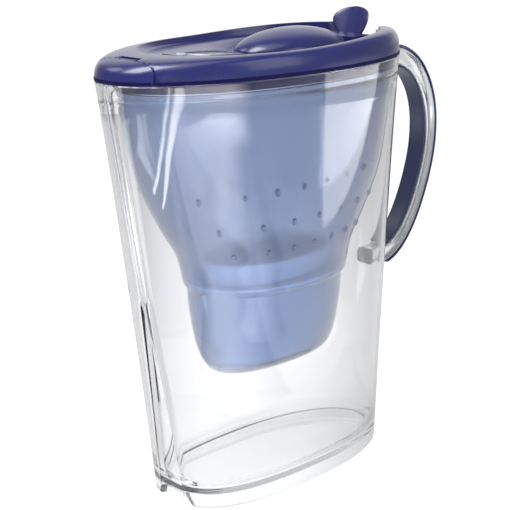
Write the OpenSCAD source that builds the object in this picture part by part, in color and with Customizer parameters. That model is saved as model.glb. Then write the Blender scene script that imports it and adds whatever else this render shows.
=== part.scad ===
// Water filter jug with a lift-off lid: a clear jug, a tinted funnel hanging in its mouth, a filter
// cartridge in the funnel's cup, and a lid with a filling flap, a pouring visor and a filter timer.
// X runs from the spout (-X) to the handle (+X), Y across, Z up from the table.
// Every oval here is an egg: a superellipse whose front and rear halves have their own length.

/* [Jug] */
// Height of the jug's rim
jug_h = 245; // [225:1:265]
// Reach of the rim in front of the origin
rim_front = 111; // [104:1:118]
// Reach of the rim behind the origin
rim_rear = 104; // [98:1:110]
// Half the width of the rim
rim_half = 52.5; // [50:0.5:56]
// Reach of the foot in front of the origin
base_front = 72; // [66:1:78]
// Reach of the foot behind the origin
base_rear = 93; // [87:1:98]
// Half the width of the foot
base_half = 38.5; // [36:0.5:42]
// Wall thickness of the jug
jug_wall = 2.2; // [1.8:0.1:2.8]
// Height of the open foot below the jug's floor
foot_h = 8.5; // [6:0.5:10]
// Height at which the bow's keel splits into the two edges of its flat panel
keel_split_z = 122; // [105:1:140]
// How far the keel and the panel's edges stand out of the bow
keel_ridge = 1.1; // [0.6:0.1:1.6]
// Half the width of the bow panel where it starts
panel_top_half = 2.6; // [2:0.1:4]
// Half the width of the bow panel at the foot
panel_foot_half = 10; // [8:0.5:12]

/* [Funnel and cartridge] */
// Wall thickness of the funnel
funnel_wall = 1.8; // [1.4:0.1:2.2]
// Depth of the ledge that carries the funnel's collar below the rim
ledge_below_rim = 9; // [8:0.5:11]
// Thickness of the funnel's collar
collar_t = 2.4; // [2:0.1:3]
// Depth of the cup's lowest point below the rim
cup_depth = 177; // [169:1:183]
// Depth of the shoulder that carries the cartridge's flange below the rim
cup_seat_depth = 124; // [119:1:127]
// Height of the cartridge's cap above its flange
cap_h = 12; // [9:1:16]
// Number of slots along the cartridge's cap
cap_slots = 7; // [5:1:9]

/* [Lid] */
// Height of the lid's crest over the rim at the front of its basin
crest_front_h = 12.8; // [11:0.2:15]
// Height of the lid's crest over the rim at the rear
crest_rear_h = 15.6; // [14:0.2:18]
// Depth of the basin's bottom below the crest at the front
basin_depth = 7.6; // [6:0.2:9]
// Thickness of the lid's shell
lid_wall = 1.8; // [1.5:0.1:2.2]
// Depth of the skirt below the rim
skirt_h = 5.4; // [4:0.2:6]
// Half the width of the flap's thumb tab
tab_half = 15.5; // [13:0.5:16.5]
// Height of the flap's dome above its flange
dome_h = 11.4; // [9:0.2:12]
// Radius of the flap's hinge pins
flap_pin_r = 1.5; // [1.2:0.1:1.8]
// Radius of the visor's hinge pins
visor_pin_r = 0.7; // [0.6:0.05:0.8]

/* [Timer] */
// Length of the filter timer's case
timer_l = 44; // [38:1:48]
// Width of the filter timer's case
timer_w = 24; // [20:1:27]

/* [Handle] */
// Half the width of the handle
handle_half = 7; // [6:0.5:9]
// Thickness of the handle between its two strips
handle_t = 10.4; // [8:0.2:12]
// Thickness of each strip
strip_t = 1.7; // [1.2:0.1:2.2]

/* [Fits] */
// Gap between curved faces on pieces that move apart
gap = 0.3; // [0.25:0.05:0.5]
// Radial clearance of a pin in its bore
pin_fit = 0.05; // [0.03:0.01:0.1]

/* [Hidden] */

EPS = 0.02;
// Angular steps of a quarter turn in every lofted egg
Q = 11;
SKIN_EX = 2.15;
rim_mid = 4;
base_mid = 11;
blue = "#3c3f8c";
tint = "#8ea3d2";
clear = "#dfe6ec";
white = "#eceff2";

function mix(a, b, t) = a + (b - a) * t;
function clamp01(t) = min(1, max(0, t));
function smooth(t) = let(c = clamp01(t)) c * c * (3 - 2 * c);
function sgn(v) = v < 0 ? -1 : 1;
function spow(v, p) = sgn(v) * pow(abs(v), p);

// ---- eggs -------------------------------------------------------------------------------------
// An egg is [front reach, rear reach, half width, x of its widest place, front exponent, rear exponent].
function rear_ex(e) = len(e) > 5 ? e[5] : SKIN_EX;
function egg_inset(e, d) = [e[0] - d, e[1] - d, e[2] - d, e[3], e[4], rear_ex(e)];
function egg_at(e, a) =
    let(c = cos(a), s = sin(a), ex = c < 0 ? e[4] : rear_ex(e))
    [e[3] + (c < 0 ? e[0] + e[3] : e[1] - e[3]) * spow(c, 2 / ex), e[2] * spow(s, 2 / ex)];
// x of the egg's front or rear wall at a given y
function egg_front_x(e, y) = e[3] - (e[0] + e[3]) * pow(max(0, 1 - pow(abs(y) / e[2], e[4])), 1 / e[4]);
function egg_rear_x(e, y) =
    let(n = rear_ex(e)) e[3] + (e[1] - e[3]) * pow(max(0, 1 - pow(abs(y) / e[2], n)), 1 / n);
function egg_points(e) = [for (k = [0:4 * Q - 1]) egg_at(e, k * 90 / Q)];
function egg_ring(e, z) = [for (p = egg_points(e)) [p[0], p[1], z]];

// ---- lofts ------------------------------------------------------------------------------------
function centroid(ring) = [for (i = [0:2]) let(v = [for (p = ring) p[i]]) (v * [for (q = v) 1]) / len(v)];
// Rings run anticlockwise seen from above. A loft that closes on itself has no caps, and tips are the
// middle points of the caps where those aren't flat.
module loft(rings, closed = false, tips = undef) {
    m = len(rings[0]);
    n = len(rings);
    points = [for (r = rings) for (p = r) p];
    sides = [for (r = [0:closed ? n - 1 : n - 2], i = [0:m - 1])
        let(a = r * m + i, b = r * m + (i + 1) % m,
            d = ((r + 1) % n) * m + i, c = ((r + 1) % n) * m + (i + 1) % m)
        each [[a, d, c], [a, c, b]]];
    low = n * m;
    high = low + 1;
    caps = closed ? [] : [for (i = [0:m - 1]) each [[low, i, (i + 1) % m],
        [high, (n - 1) * m + (i + 1) % m, (n - 1) * m + i]]];
    ends = closed ? [] : tips != undef ? tips : [centroid(rings[0]), centroid(rings[n - 1])];
    polyhedron(points = concat(points, ends), faces = concat(sides, caps), convexity = 8);
}
module egg_plate(e, z0, z1) {
    translate([0, 0, z0]) linear_extrude(height = z1 - z0) polygon(egg_points(e));
}

// ---- jug --------------------------------------------------------------------------------------
function jug_egg(z, inset = 0) =
    let(t = z / jug_h)
    [mix(base_front, rim_front, pow(max(t, 0), 1.12)) - inset,
     mix(base_rear, rim_rear, pow(max(t, 0), 1.4)) - inset,
     mix(base_half, rim_half, t) - inset,
     mix(base_mid, rim_mid, t),
     2.05 + 0.95 * pow(max(0, 1 - t), 1.5)];

keel_half = 0.8;
panel_edge = 2.6;
notch_top_half = 9;
notch_foot_half = 13.5;
function panel_half(z) = z > keel_split_z + 4 ? keel_half
    : z > keel_split_z ? mix(panel_top_half, keel_half, (z - keel_split_z) / 4)
    : mix(panel_foot_half, panel_top_half, z / keel_split_z);

// One side of a jug ring, from the rear round to the bow: the plain egg, then the bow's edge points.
function jug_half_ring(z, inset, ridge, lift) =
    let(e = jug_egg(z, inset),
        ph = lift > 0 ? notch_top_half : panel_half(z),
        pe = lift > 0 ? notch_foot_half : ph + panel_edge,
        last = 180 - asin(pow(pe / e[2], e[4] / 2)),
        flat = z < keel_split_z ? 1 : 0)
    concat([for (k = [0:Q]) let(p = egg_at(e, k * 90 / Q)) [p[0], p[1], z]],
           [for (k = [1:Q]) let(p = egg_at(e, 90 + (last - 90) * k / Q)) [p[0], p[1], z]],
           [[egg_front_x(e, ph) - ridge, ph, max(z, lift)],
            [egg_front_x(e, 0) - ridge * (1 - flat) + 0.5 * flat * sgn(ridge - 0.01), 0, max(z, lift)]]);
function mirror_ring(half) =
    concat(half, [for (i = [len(half) - 2:-1:1]) [half[i][0], -half[i][1], half[i][2]]]);
function jug_ring(z, inset = 0, ridge = 0, lift = 0) = mirror_ring(jug_half_ring(z, inset, ridge, lift));

ledge_z = jug_h - ledge_below_rim;
ledge_w = 2;
floor_z = foot_h + 2.4;
skin_zs = [12, 30, 55, 85, 108, keel_split_z - 1, keel_split_z + 3, 145, 170, 195, 220, jug_h - 4];
inner_zs = [220, 195, 170, 145, keel_split_z, 95, 60, 30];
// The foot's land is this high, and the bead that the jug stands on reaches down from it
land_z = 0.6;
land_out = 1.2;
land_in = 4.2;
bead_inset = 0.3;
module foot_bead() {
    linear_extrude(height = land_z + 1) difference() {
        polygon(egg_points(jug_egg(0, land_out + bead_inset)));
        polygon(egg_points(jug_egg(0, land_in - bead_inset)));
        // The bead stops at the notch below the bow
        translate([-2 * base_front, -notch_foot_half - 2]) square([2 * base_front, 2 * notch_foot_half + 4]);
    }
}
module jug() {
    color(clear) union() {
        loft(concat(
            [jug_ring(foot_h, land_in + 0.4), jug_ring(land_z, land_in, 0, foot_h - 0.3),
             jug_ring(land_z, land_out, 0, foot_h - 0.6), jug_ring(land_z + 1.2, 0.2, 0, foot_h - 0.2)],
            [for (z = skin_zs) jug_ring(z, 0, keel_ridge)],
            [jug_ring(jug_h - 0.6, 0, 0.4), jug_ring(jug_h, 0.6), jug_ring(jug_h, jug_wall - 0.4),
             jug_ring(jug_h - 0.5, jug_wall), jug_ring(ledge_z + 0.2, jug_wall),
             jug_ring(ledge_z, jug_wall + ledge_w), jug_ring(ledge_z - 3, jug_wall + ledge_w * 0.4)],
            [for (z = inner_zs) jug_ring(z, jug_wall)],
            [jug_ring(17, jug_wall + 0.5), jug_ring(floor_z + 1.6, jug_wall + 2.2),
             jug_ring(floor_z, jug_wall + 6)]));
        foot_bead();
    }
}

// ---- handle -----------------------------------------------------------------------------------
// The handle's middle line from its upper foot to its lower one: [out from the jug's wall, below the rim]
handle_path = [[-5.5, 8], [8.4, 5.5], [20.5, 7.5], [33, 15], [42.5, 26.5], [48.3, 39], [51, 53],
    [50.5, 70], [45.8, 89], [38.2, 107], [29.6, 120], [20, 128.5], [10.2, 132], [0.3, 133]];
handle_knots = [for (p = handle_path) let(z = jug_h - p[1]) [egg_rear_x(jug_egg(z), 0) + p[0], z]];
function catmull(a, b, c, d, t) =
    0.5 * ((2 * b) + (c - a) * t + (2 * a - 5 * b + 4 * c - d) * t * t + (3 * b - a - 3 * c + d) * t * t * t);
// Place on the middle line at s, counted in knots
function handle_at(s) =
    let(i = min(len(handle_knots) - 3, max(1, floor(s))))
    catmull(handle_knots[i - 1], handle_knots[i], handle_knots[i + 1], handle_knots[i + 2], s - i);
function unit(v) = v / norm(v);
function handle_out(s) = let(t = unit(handle_at(s + 0.02) - handle_at(s - 0.02))) [-t[1], t[0]];
bar_sides = 16;
bar_square = 0.45;
// A rounded bar of the handle between two depths, measured outwards from the middle line
function bar_ring(s, n0, n1, half, seated) =
    let(c = handle_at(s), o = handle_out(s), m = bar_sides)
    [for (k = [0:m - 1])
        let(a = 360 * k / m, n = mix(n0, n1, 0.5 + 0.5 * spow(cos(a), bar_square)),
            y = half * spow(sin(a), bar_square),
            x = c[0] + o[0] * n, z = c[1] + o[1] * n)
        [seated ? egg_rear_x(jug_egg(z), y) + foot_gap : x, y, z]];
foot_s = 1.15;
heel_s = len(handle_knots) - 2.15;
bar_steps = 30;
strip_gap = 0.15;
grip_in = 1;
spine_in = 0.8;
// The welded feet stop this far from the jug's wall
foot_gap = 0.2;
function foot_tip(s) = let(z = handle_at(s)[1]) [egg_rear_x(jug_egg(z), 0) + foot_gap, 0, z];
module handle_bar(n0, n1, half, s0, s1, seated = false) {
    loft(tips = seated ? [foot_tip(s0), foot_tip(s1)] : undef, rings = [for (k = [0:bar_steps])
        bar_ring(mix(s0, s1, k / bar_steps), n0, n1, half, seated && (k == 0 || k == bar_steps))]);
}
module handle_frame() {
    color(clear) handle_bar(-handle_t / 2, handle_t / 2, handle_half, foot_s, heel_s, true);
}
module handle_grip() {
    color(blue) handle_bar(-handle_t / 2 - strip_t, -handle_t / 2 - strip_gap, handle_half - grip_in,
        foot_s + 0.9, heel_s - 0.35);
}
module handle_spine() {
    color(blue) handle_bar(handle_t / 2 + strip_gap, handle_t / 2 + strip_t, handle_half - spine_in,
        foot_s + 0.15, heel_s - 0.1);
}

// ---- funnel -----------------------------------------------------------------------------------
collar_z = ledge_z + gap;
collar_top = collar_z + collar_t;
spout_gap = 9.5;
collar_egg = let(e = jug_egg(ledge_z, jug_wall + gap)) [e[0] - spout_gap, e[1], e[2], e[3], e[4]];
mouth_egg = [collar_egg[0] - 1.2, collar_egg[1] - ledge_w - 0.4, collar_egg[2] - ledge_w - 0.4,
    collar_egg[3], collar_egg[4]];
cup_bottom_z = jug_h - cup_depth;
cup_seat_z = jug_h - cup_seat_depth;
cup_egg = [49, 57.5, 34, 4, 2.2];
shoulder_egg = [51, 60, 36, 4, 2.2];
// The funnel's flare from its shoulder to its mouth, as shares of: [height, [front, rear, half width]]
flare = [[0.157, [0.11, 0.117, 0.18]], [0.322, [0.376, 0.415, 0.523]], [0.53, [0.664, 0.74, 0.83]],
    [0.774, [0.885, 0.908, 0.974]]];
// Outside of the funnel from its cup to its mouth: [height, egg]
funnel_levels = [
    [cup_bottom_z + 2, [36, 45, 18, 4, 2.2]],
    [cup_bottom_z + 7, [40.5, 51, 24.5, 4, 2.2]],
    [cup_bottom_z + 18, [44.5, 53.5, 29.8, 4, 2.2]],
    [cup_bottom_z + 36, [47.5, 56, 33, 4, 2.2]],
    [cup_seat_z - 1.5, cup_egg],
    [cup_seat_z + 1, shoulder_egg],
    for (f = flare) [mix(cup_seat_z, ledge_z, f[0]), concat(
        [for (i = [0:2]) mix(shoulder_egg[i], mouth_egg[i], f[1][i])], [cup_egg[3], cup_egg[4]])],
    [ledge_z - 4, mouth_egg]];
drain_egg = [8, 18, 7, 5, 2.2];
module funnel() {
    inner = [for (i = [len(funnel_levels) - 1:-1:0]) let(l = funnel_levels[i])
        egg_ring(egg_inset(l[1], funnel_wall), l[0] + (i < 3 ? funnel_wall : 0))];
    color(tint) loft(concat(
        [egg_ring(drain_egg, cup_bottom_z), egg_ring([26, 36, 12, 4, 2.2], cup_bottom_z)],
        [for (l = funnel_levels) egg_ring(l[1], l[0])],
        [egg_ring(mouth_egg, collar_z), egg_ring(collar_egg, collar_z), egg_ring(collar_egg, collar_top),
         egg_ring(egg_inset(mouth_egg, funnel_wall), collar_top)],
        inner,
        [egg_ring([24, 34, 10.5, 4, 2.2], cup_bottom_z + funnel_wall),
         egg_ring(drain_egg, cup_bottom_z + funnel_wall)]), closed = true);
}

// ---- cartridge --------------------------------------------------------------------------------
flange_z = cup_seat_z + 1 + gap;
flange_t = 1.8;
flange_egg = egg_inset(shoulder_egg, funnel_wall + gap);
body_egg = egg_inset(cup_egg, funnel_wall + 5);
body_foot_z = cup_bottom_z + 21;
foot_egg = egg_inset(body_egg, 7);
tray_z = cup_bottom_z + 8;
cart_wall = 1.5;
cap_egg = egg_inset(body_egg, 1.5);
cap_z = flange_z + flange_t;
cap_top_t = 2;
slot_w = 2;
slot_pitch = 9;
slot_row_y = 10.5;
slot_l = 13;
bow_r = 16;
bow_rise = 10;
bow_t = 3;
module cartridge_body() {
    color(white) difference() {
        union() {
            egg_plate(flange_egg, flange_z, cap_z);
            egg_plate(body_egg, body_foot_z, flange_z + 0.5);
            egg_plate(foot_egg, tray_z, body_foot_z + 0.5);
        }
        egg_plate(egg_inset(body_egg, cart_wall), body_foot_z + cart_wall, cap_z + 1);
        egg_plate(egg_inset(foot_egg, cart_wall), tray_z - 1, body_foot_z + cart_wall + 1);
    }
}
module cartridge_cap() {
    crown = cap_z + cap_h;
    color(white) union() {
        difference() {
            egg_plate(cap_egg, cap_z + 0.05, crown);
            egg_plate(egg_inset(cap_egg, cart_wall), cap_z - 1, crown - cap_top_t);
            for (k = [0:cap_slots - 1]) {
                x = cap_egg[3] + (k - (cap_slots - 1) / 2) * slot_pitch;
                for (side = [-1, 1])
                    translate([x, side * slot_row_y, crown - cap_top_t - 1]) linear_extrude(height = 6)
                        square([slot_w, slot_l - abs(k - (cap_slots - 1) / 2) * 1.6], center = true);
            }
        }
        // Pull bow along the middle of the cap
        translate([cap_egg[3], 0, crown - 0.1]) rotate([90, 0, 0]) linear_extrude(height = bow_t, center = true)
            difference() {
                intersection() {
                    circle(r = bow_r, $fn = 48);
                    translate([-bow_r, 0]) square([2 * bow_r, bow_rise]);
                }
                intersection() {
                    circle(r = bow_r - bow_t, $fn = 48);
                    translate([-bow_r, -1]) square([2 * bow_r, bow_rise - 1.8]);
                }
            }
    }
}
mesh_t = 0.6;
mesh_z = cap_z + cap_h - cap_top_t - 0.05 - mesh_t;
filling_below = 6;
strainer_t = 1.6;
module cartridge_mesh() {
    color("#c9ced4") egg_plate(egg_inset(cap_egg, cart_wall + 0.1), mesh_z, mesh_z + mesh_t);
}
module cartridge_filling() {
    color("#6f7076")
        egg_plate(egg_inset(body_egg, cart_wall + 0.1), body_foot_z + cart_wall + 0.1, flange_z - filling_below);
}
module cartridge_strainer() {
    color(white) difference() {
        egg_plate(egg_inset(foot_egg, cart_wall + 0.05), tray_z, tray_z + strainer_t);
        for (k = [-3:3]) translate([foot_egg[3] + k * slot_pitch, 0, tray_z - 1])
            linear_extrude(height = 4) square([slot_w, 2 * foot_egg[2] - 14 - 2.4 * abs(k)], center = true);
    }
}

// ---- lid --------------------------------------------------------------------------------------
lid_z = jug_h + gap;
visor_l = 12.6;
seam_x = visor_l - rim_front;
seam_gap = 0.6;
hinge_slot_half = 8.6;
hinge_slot = 4.4;
crest_ex = 2.3;
rim_egg = jug_egg(jug_h);
crest_egg = [rim_front - 32, rim_rear - 16, rim_half - 6, rim_mid, crest_ex];
// The hinge lugs stand beside the thumb tab, and the filling hole is wide enough for both
lug_t = 3;
lug_in = tab_half + 2.1;
lug_out = lug_in + lug_t;
hole_half = lug_out + 6.4;
hole_front = rim_front - 97;
hole_egg = [hole_front, rim_rear - 20, hole_half, 33, 2.2, 4];
hole_z = lid_z + crest_front_h - basin_depth;
pocket_egg = [rim_front - 4, rim_rear - 4, rim_half - 4, rim_mid, crest_ex];
pocket_z = hole_z + 0.4;
// The pocket's floor falls towards the hole, to clear the thumb tab when the flap is open
pocket_dip = 1.3;
pocket_gap = 1.4;
pocket_edge = 5;
shoulder = 3.2;
// 1 inside the thumb tab's pocket at the rear, 0 elsewhere, by the angle from the rear
pocket_angle = asin(pow((tab_half + pocket_gap) / crest_egg[2], crest_ex / 2));
function pocket(a) = let(r = min(a, 360 - a)) 1 - smooth((r - pocket_angle) / pocket_edge);
function crest_xy(a, inset) =
    let(c = egg_at(egg_inset(crest_egg, inset), a), p = egg_at(egg_inset(pocket_egg, inset), a))
    mix(c, p, pocket(a));
function crest_z(a) =
    let(x = egg_at(crest_egg, a)[0], h = mix(crest_front_h, crest_rear_h, smooth((x + 20) / 100)))
    mix(lid_z + h, pocket_z, pocket(a));
function rise(q) = pow(1 - pow(1 - q, shoulder), 1 / shoulder);
// Outside of the lid from the rim at q = 0 to the crest at q = 1, moved in by a thickness t
function lid_side(a, q, t) =
    let(p = mix(egg_at(egg_inset(rim_egg, t), a), crest_xy(a, t), q))
    [p[0], p[1], lid_z + (crest_z(a) - lid_z - t) * rise(q)];
// Basin from the crest at v = 0 to the filling hole at v = 1
// It drops at once behind the crest, runs nearly level, and drops again to the flap's flange
basin_brim = 0.42;
basin_brim_end = 0.14;
basin_floor_start = 0.9;
function basin_low(v) =
    basin_brim * (1 - pow(1 - clamp01(v / basin_brim_end), 2))
    + (1 - basin_brim) * pow(clamp01(v / basin_floor_start), 4);
function lid_basin(a, v, t) =
    let(p = mix(crest_xy(a, t), egg_at(hole_egg, a), v), low = basin_low(v))
    [p[0], p[1], mix(crest_z(a), hole_z, low) - t - pocket_dip * smooth(v) * pocket(a)];
// The shell stops at the visor's seam, and a little further back round the visor's hinge
function clip_front(p, t) = [max(p[0], seam_x + t + (abs(p[1]) < hinge_slot_half ? hinge_slot : 0)), p[1], p[2]];
lid_angles = [for (k = [0:4 * Q + 7]) k * 360 / (4 * Q + 8)];
side_qs = [0, 0.03, 0.1, 0.25, 0.5, 0.78, 1];
basin_vs = [0.03, 0.07, 0.14, 0.4, 0.62, 0.75, 0.83, 0.9, 1];
function reversed(v) = [for (i = [len(v) - 1:-1:0]) v[i]];
// Underside and top of the liner's plate
liner_z0 = lid_z - 0.3;
liner_z1 = lid_z + 1.6;
timer_x = -hole_front - 7 - timer_l / 2;
timer_tilt = 3;
timer_z = lid_z + crest_front_h - 4;
// The case reaches down to the liner at its lower, rear end
timer_t = (timer_z - liner_z1 - timer_l / 2 * sin(timer_tilt)) / cos(timer_tilt) - 0.08;
timer_r = 5;
module timer_place() translate([timer_x, 0, timer_z]) rotate([0, timer_tilt, 0]) children();
module rounded(l, w, r) {
    for (s = [-1, 1]) {
        translate([s * (l / 2 - r), w / 2 - r]) circle(r = r, $fn = 32);
        translate([s * (l / 2 - r), r - w / 2]) circle(r = r, $fn = 32);
    }
    square([l - 2 * r, w], center = true);
    square([l, w - 2 * r], center = true);
}
module lid_shell() {
    color(blue) difference() {
        loft(concat(
            [for (q = side_qs) [for (a = lid_angles) clip_front(lid_side(a, q, 0), 0)]],
            [for (v = basin_vs) [for (a = lid_angles) clip_front(lid_basin(a, v, 0), 0)]],
            [for (v = reversed(basin_vs)) [for (a = lid_angles) clip_front(lid_basin(a, v, lid_wall), lid_wall)]],
            [for (q = reversed(side_qs)) [for (a = lid_angles) clip_front(lid_side(a, q, lid_wall), lid_wall)]]),
            closed = true);
        timer_place() translate([0, 0, -timer_t - 3]) linear_extrude(height = timer_t + 8)
            rounded(timer_l + 2 * gap, timer_w + 2 * gap, timer_r + gap);
    }
}

// Liner: the lid's flat underside, its skirt in the jug's mouth, the filling throat and the hinge lugs
skirt_egg = let(e = jug_egg(ledge_z + 4, jug_wall + gap)) [e[0] - spout_gap + 1, e[1], e[2], e[3], e[4]];
liner_egg = egg_inset(rim_egg, lid_wall + 1);
throat_egg = [hole_front - 6, rim_rear - 42, hole_half - 8, 27, 2.2];
flap_axis = [rim_rear - 30, hole_z + 1];
lug_r = 3.2;
visor_axis = [seam_x + 1.3, lid_z + crest_front_h - 2.2];
ear_in = 5.2;
ear_out = 8;
ear_r = 1.4;
module lid_liner() {
    color(white) difference() {
        union() {
            intersection() {
                egg_plate(liner_egg, liner_z0, liner_z1);
                translate([seam_x + lid_wall + hinge_slot + gap, -80, 0]) cube([300, 160, 400]);
            }
            egg_plate(skirt_egg, lid_z - skirt_h, liner_z0 + 0.2);
            egg_plate(egg_inset(throat_egg, -1.6), liner_z0, hole_z - lid_wall - gap);
            for (s = [-1, 1]) {
                translate([flap_axis[0], s * (lug_in + lug_out) / 2, 0]) {
                    translate([-lug_r, -(lug_out - lug_in) / 2, liner_z0])
                        cube([2 * lug_r, lug_out - lug_in, flap_axis[1] - liner_z0]);
                    translate([0, 0, flap_axis[1]]) rotate([90, 0, 0])
                        cylinder(r = lug_r, h = lug_out - lug_in, center = true, $fn = 40);
                }
                // Post behind the visor's seam that carries its hinge ear
                translate([visor_axis[0], s * (ear_in + ear_out) / 2, 0]) {
                    translate([-ear_r, -(ear_out - ear_in) / 2, liner_z0])
                        cube([2 * ear_r - 0.5, ear_out - ear_in, visor_axis[1] - liner_z0]);
                    translate([0, 0, visor_axis[1]]) rotate([90, 0, 0])
                        cylinder(r = ear_r, h = ear_out - ear_in, center = true, $fn = 32);
                }
            }
        }
        egg_plate(egg_inset(skirt_egg, 2), lid_z - skirt_h - 1, liner_z0);
        egg_plate(throat_egg, lid_z - skirt_h - 1, lid_z + 20);
        translate([flap_axis[0], 0, flap_axis[1]]) rotate([90, 0, 0])
            cylinder(r = flap_pin_r + pin_fit, h = 60, center = true, $fn = 40);
        translate([visor_axis[0], 0, visor_axis[1]]) rotate([90, 0, 0])
            cylinder(r = visor_pin_r + pin_fit, h = 30, center = true, $fn = 32);
    }
}

// ---- filling flap -----------------------------------------------------------------------------
flange_low = hole_z + gap;
flap_egg = [hole_front + 3, rim_rear - 36, hole_half + 1, 27, 2.2];
dome_egg = [hole_front, rim_rear - 38, hole_half - 4.5, 28, 2.1];
flap_t = 1.7;
tab_lean = 22;
tab_h = 20.4;
tab_t = 2.2;
tab_wide = tab_half - 1.8;
tab_base = 5.5;
tab_wide_share = 0.56;
tab_scoop = 4.5;
flap_barrel_r = 2.4;
function dome_ring(f, t) =
    let(e = egg_inset(dome_egg, t))
    egg_ring([e[3] * (f - 1) + e[0] * f, e[3] + (e[1] - e[3]) * f, e[2] * f, e[3], e[4]],
        flange_low + flap_t + (dome_h - t) * pow(max(0, 1 - pow(f, 2.1)), 0.62) - (t > 0 ? flap_t - 0.6 : 0));
dome_fs = [0.18, 0.4, 0.6, 0.76, 0.88, 0.96, 1];
// The thumb tab is a scoop, hollow towards the dome and widest a little over half way up
function tab_reach(h) = h < tab_wide_share ? mix(tab_base, tab_wide, sin(90 * h / tab_wide_share))
    : tab_wide * sqrt(max(0.004, 1 - pow((h - tab_wide_share) / (1 - tab_wide_share), 2)));
function tab_point(h, s, side) =
    let(y = s * tab_reach(h)) [side * tab_t / 2 - tab_scoop * pow(y / tab_wide, 2), y, h * tab_h];
tab_pts = 6;
function tab_ring(h) = concat([for (k = [tab_pts:-1:-tab_pts]) tab_point(h, k / tab_pts, -1)],
    [for (k = [-tab_pts:tab_pts]) tab_point(h, k / tab_pts, 1)]);
tab_hs = [-0.02, 0.1, 0.22, 0.34, 0.46, 0.56, 0.68, 0.78, 0.86, 0.92, 0.965, 0.99, 1];
module filling_flap() {
    ax = flap_axis[0];
    az = flap_axis[1];
    neck_x = dome_egg[1] - 3.6;
    color(blue) union() {
        loft(concat(
            [for (f = dome_fs) dome_ring(f, flap_t)],
            [egg_ring(egg_inset(dome_egg, flap_t), flange_low), egg_ring(flap_egg, flange_low),
             egg_ring(flap_egg, flange_low + flap_t * 0.6)],
            [for (f = reversed(dome_fs)) dome_ring(f, 0)]));
        // Neck with the hinge pins
        rotate([90, 0, 0]) linear_extrude(height = 2 * tab_half, center = true)
            polygon([[neck_x, flange_low], [ax - 1.5, flange_low - 0.2], [ax + 4, az - 2.2], [ax + 6.5, az + 1],
                [ax + 4.5, az + 5], [neck_x, az + 4.5]]);
        translate([ax, 0, az]) rotate([90, 0, 0])
            cylinder(r = flap_barrel_r, h = 2 * lug_in - 2 * gap, center = true, $fn = 40);
        translate([ax, 0, az]) rotate([90, 0, 0])
            cylinder(r = flap_pin_r, h = 2 * lug_out - 0.4, center = true, $fn = 40);
        // Thumb tab
        translate([ax + 4.5, 0, az + 0.5]) rotate([0, tab_lean, 0])
            loft([for (h = tab_hs) tab_ring(h)]);
    }
}
module flap_plate() {
    color(blue) egg_plate(egg_inset(dome_egg, flap_t + 2.2), flange_low + 0.1, flange_low + 1.2);
}

// ---- pour visor -------------------------------------------------------------------------------
visor_x = seam_x - seam_gap;
visor_barrel_r = 1.25;
web_in = 1.4;
web_t = 2;
visor_wall = 1.6;
// How far up the lid's side the visor reaches at angle a
function visor_q(a, t) =
    let(r = egg_at(egg_inset(rim_egg, t), a)[0], c = crest_xy(a, t)[0]) clamp01((visor_x - r) / (c - r));
visor_vs = [0, 0.04, 0.12, 0.26, 0.45, 0.7, 1];
visor_half_angle = let(e = egg_inset(rim_egg, visor_wall))
    asin(pow(pow(1 - pow((-visor_x - 0.5 + e[3]) / (e[0] + e[3]), e[4]), 1 / e[4]), e[4] / 2));
visor_steps = 22;
module pour_visor() {
    color(blue) union() {
        loft([for (k = [0:visor_steps])
            let(a = 180 + visor_half_angle * (1 - 2 * k / visor_steps))
            concat([for (v = visor_vs) lid_side(a, v * visor_q(a, 0), 0)],
                   [for (v = reversed(visor_vs)) lid_side(a, v * visor_q(a, visor_wall), visor_wall)])]);
        translate([visor_axis[0], 0, visor_axis[1]]) rotate([90, 0, 0])
            cylinder(r = visor_barrel_r, h = 2 * ear_in - 2 * gap, center = true, $fn = 32);
        translate([visor_axis[0], 0, visor_axis[1]]) rotate([90, 0, 0])
            cylinder(r = visor_pin_r, h = 2 * ear_out - 0.4, center = true, $fn = 32);
        translate([visor_x - web_in, gap - ear_in, visor_axis[1] - visor_barrel_r + 0.05])
            cube([visor_axis[0] - visor_x + web_in, 2 * (ear_in - gap), web_t]);
    }
}

// ---- filter timer -----------------------------------------------------------------------------
bezel_h = 0.8;
timer_deck = 0.9;
timer_floor = 0.8;
board_t = 0.8;
cell_t = 1.4;
cell_r = 5;
board_z = -timer_t + timer_floor + 0.05;
slack = 0.05;
display_t = 1.2;
window_l = 30;
window_w = 17;
window_dx = 4.4;
button_dx = -16;
button_r = 2.9;
case_wall = 1.5;
module timer_case() {
    color(blue) timer_place() difference() {
        translate([0, 0, -timer_t]) linear_extrude(height = timer_t + bezel_h) rounded(timer_l, timer_w, timer_r);
        translate([0, 0, -timer_t + timer_floor]) linear_extrude(height = timer_t - timer_floor - timer_deck)
            rounded(timer_l - 2 * case_wall, timer_w - 2 * case_wall, timer_r - case_wall);
        translate([window_dx, 0, -2]) linear_extrude(height = 6) rounded(window_l, window_w, 2);
        translate([button_dx, 0, -2]) cylinder(r = button_r + gap, h = 6, $fn = 40);
    }
}
module timer_board() {
    color("#2f6b45") timer_place() translate([0, 0, board_z]) linear_extrude(height = board_t)
        rounded(timer_l - 2 * case_wall - 0.4, timer_w - 2 * case_wall - 0.4, timer_r - case_wall - 0.3);
}
module timer_cell() {
    color("silver") timer_place() translate([window_dx, 0, board_z + board_t + slack])
        cylinder(r = cell_r, h = cell_t, $fn = 48);
}
module timer_display() {
    color("#9fa89a") timer_place() translate([window_dx, 0, -timer_deck - slack - display_t])
        linear_extrude(height = display_t)
            rounded(window_l + 1.4, window_w + 1.4, 2);
}
module timer_window() {
    color(clear) timer_place() translate([window_dx, 0, -timer_deck])
        linear_extrude(height = bezel_h + timer_deck - 0.2)
            rounded(window_l - 0.1, window_w - 0.1, 1.95);
}
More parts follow.
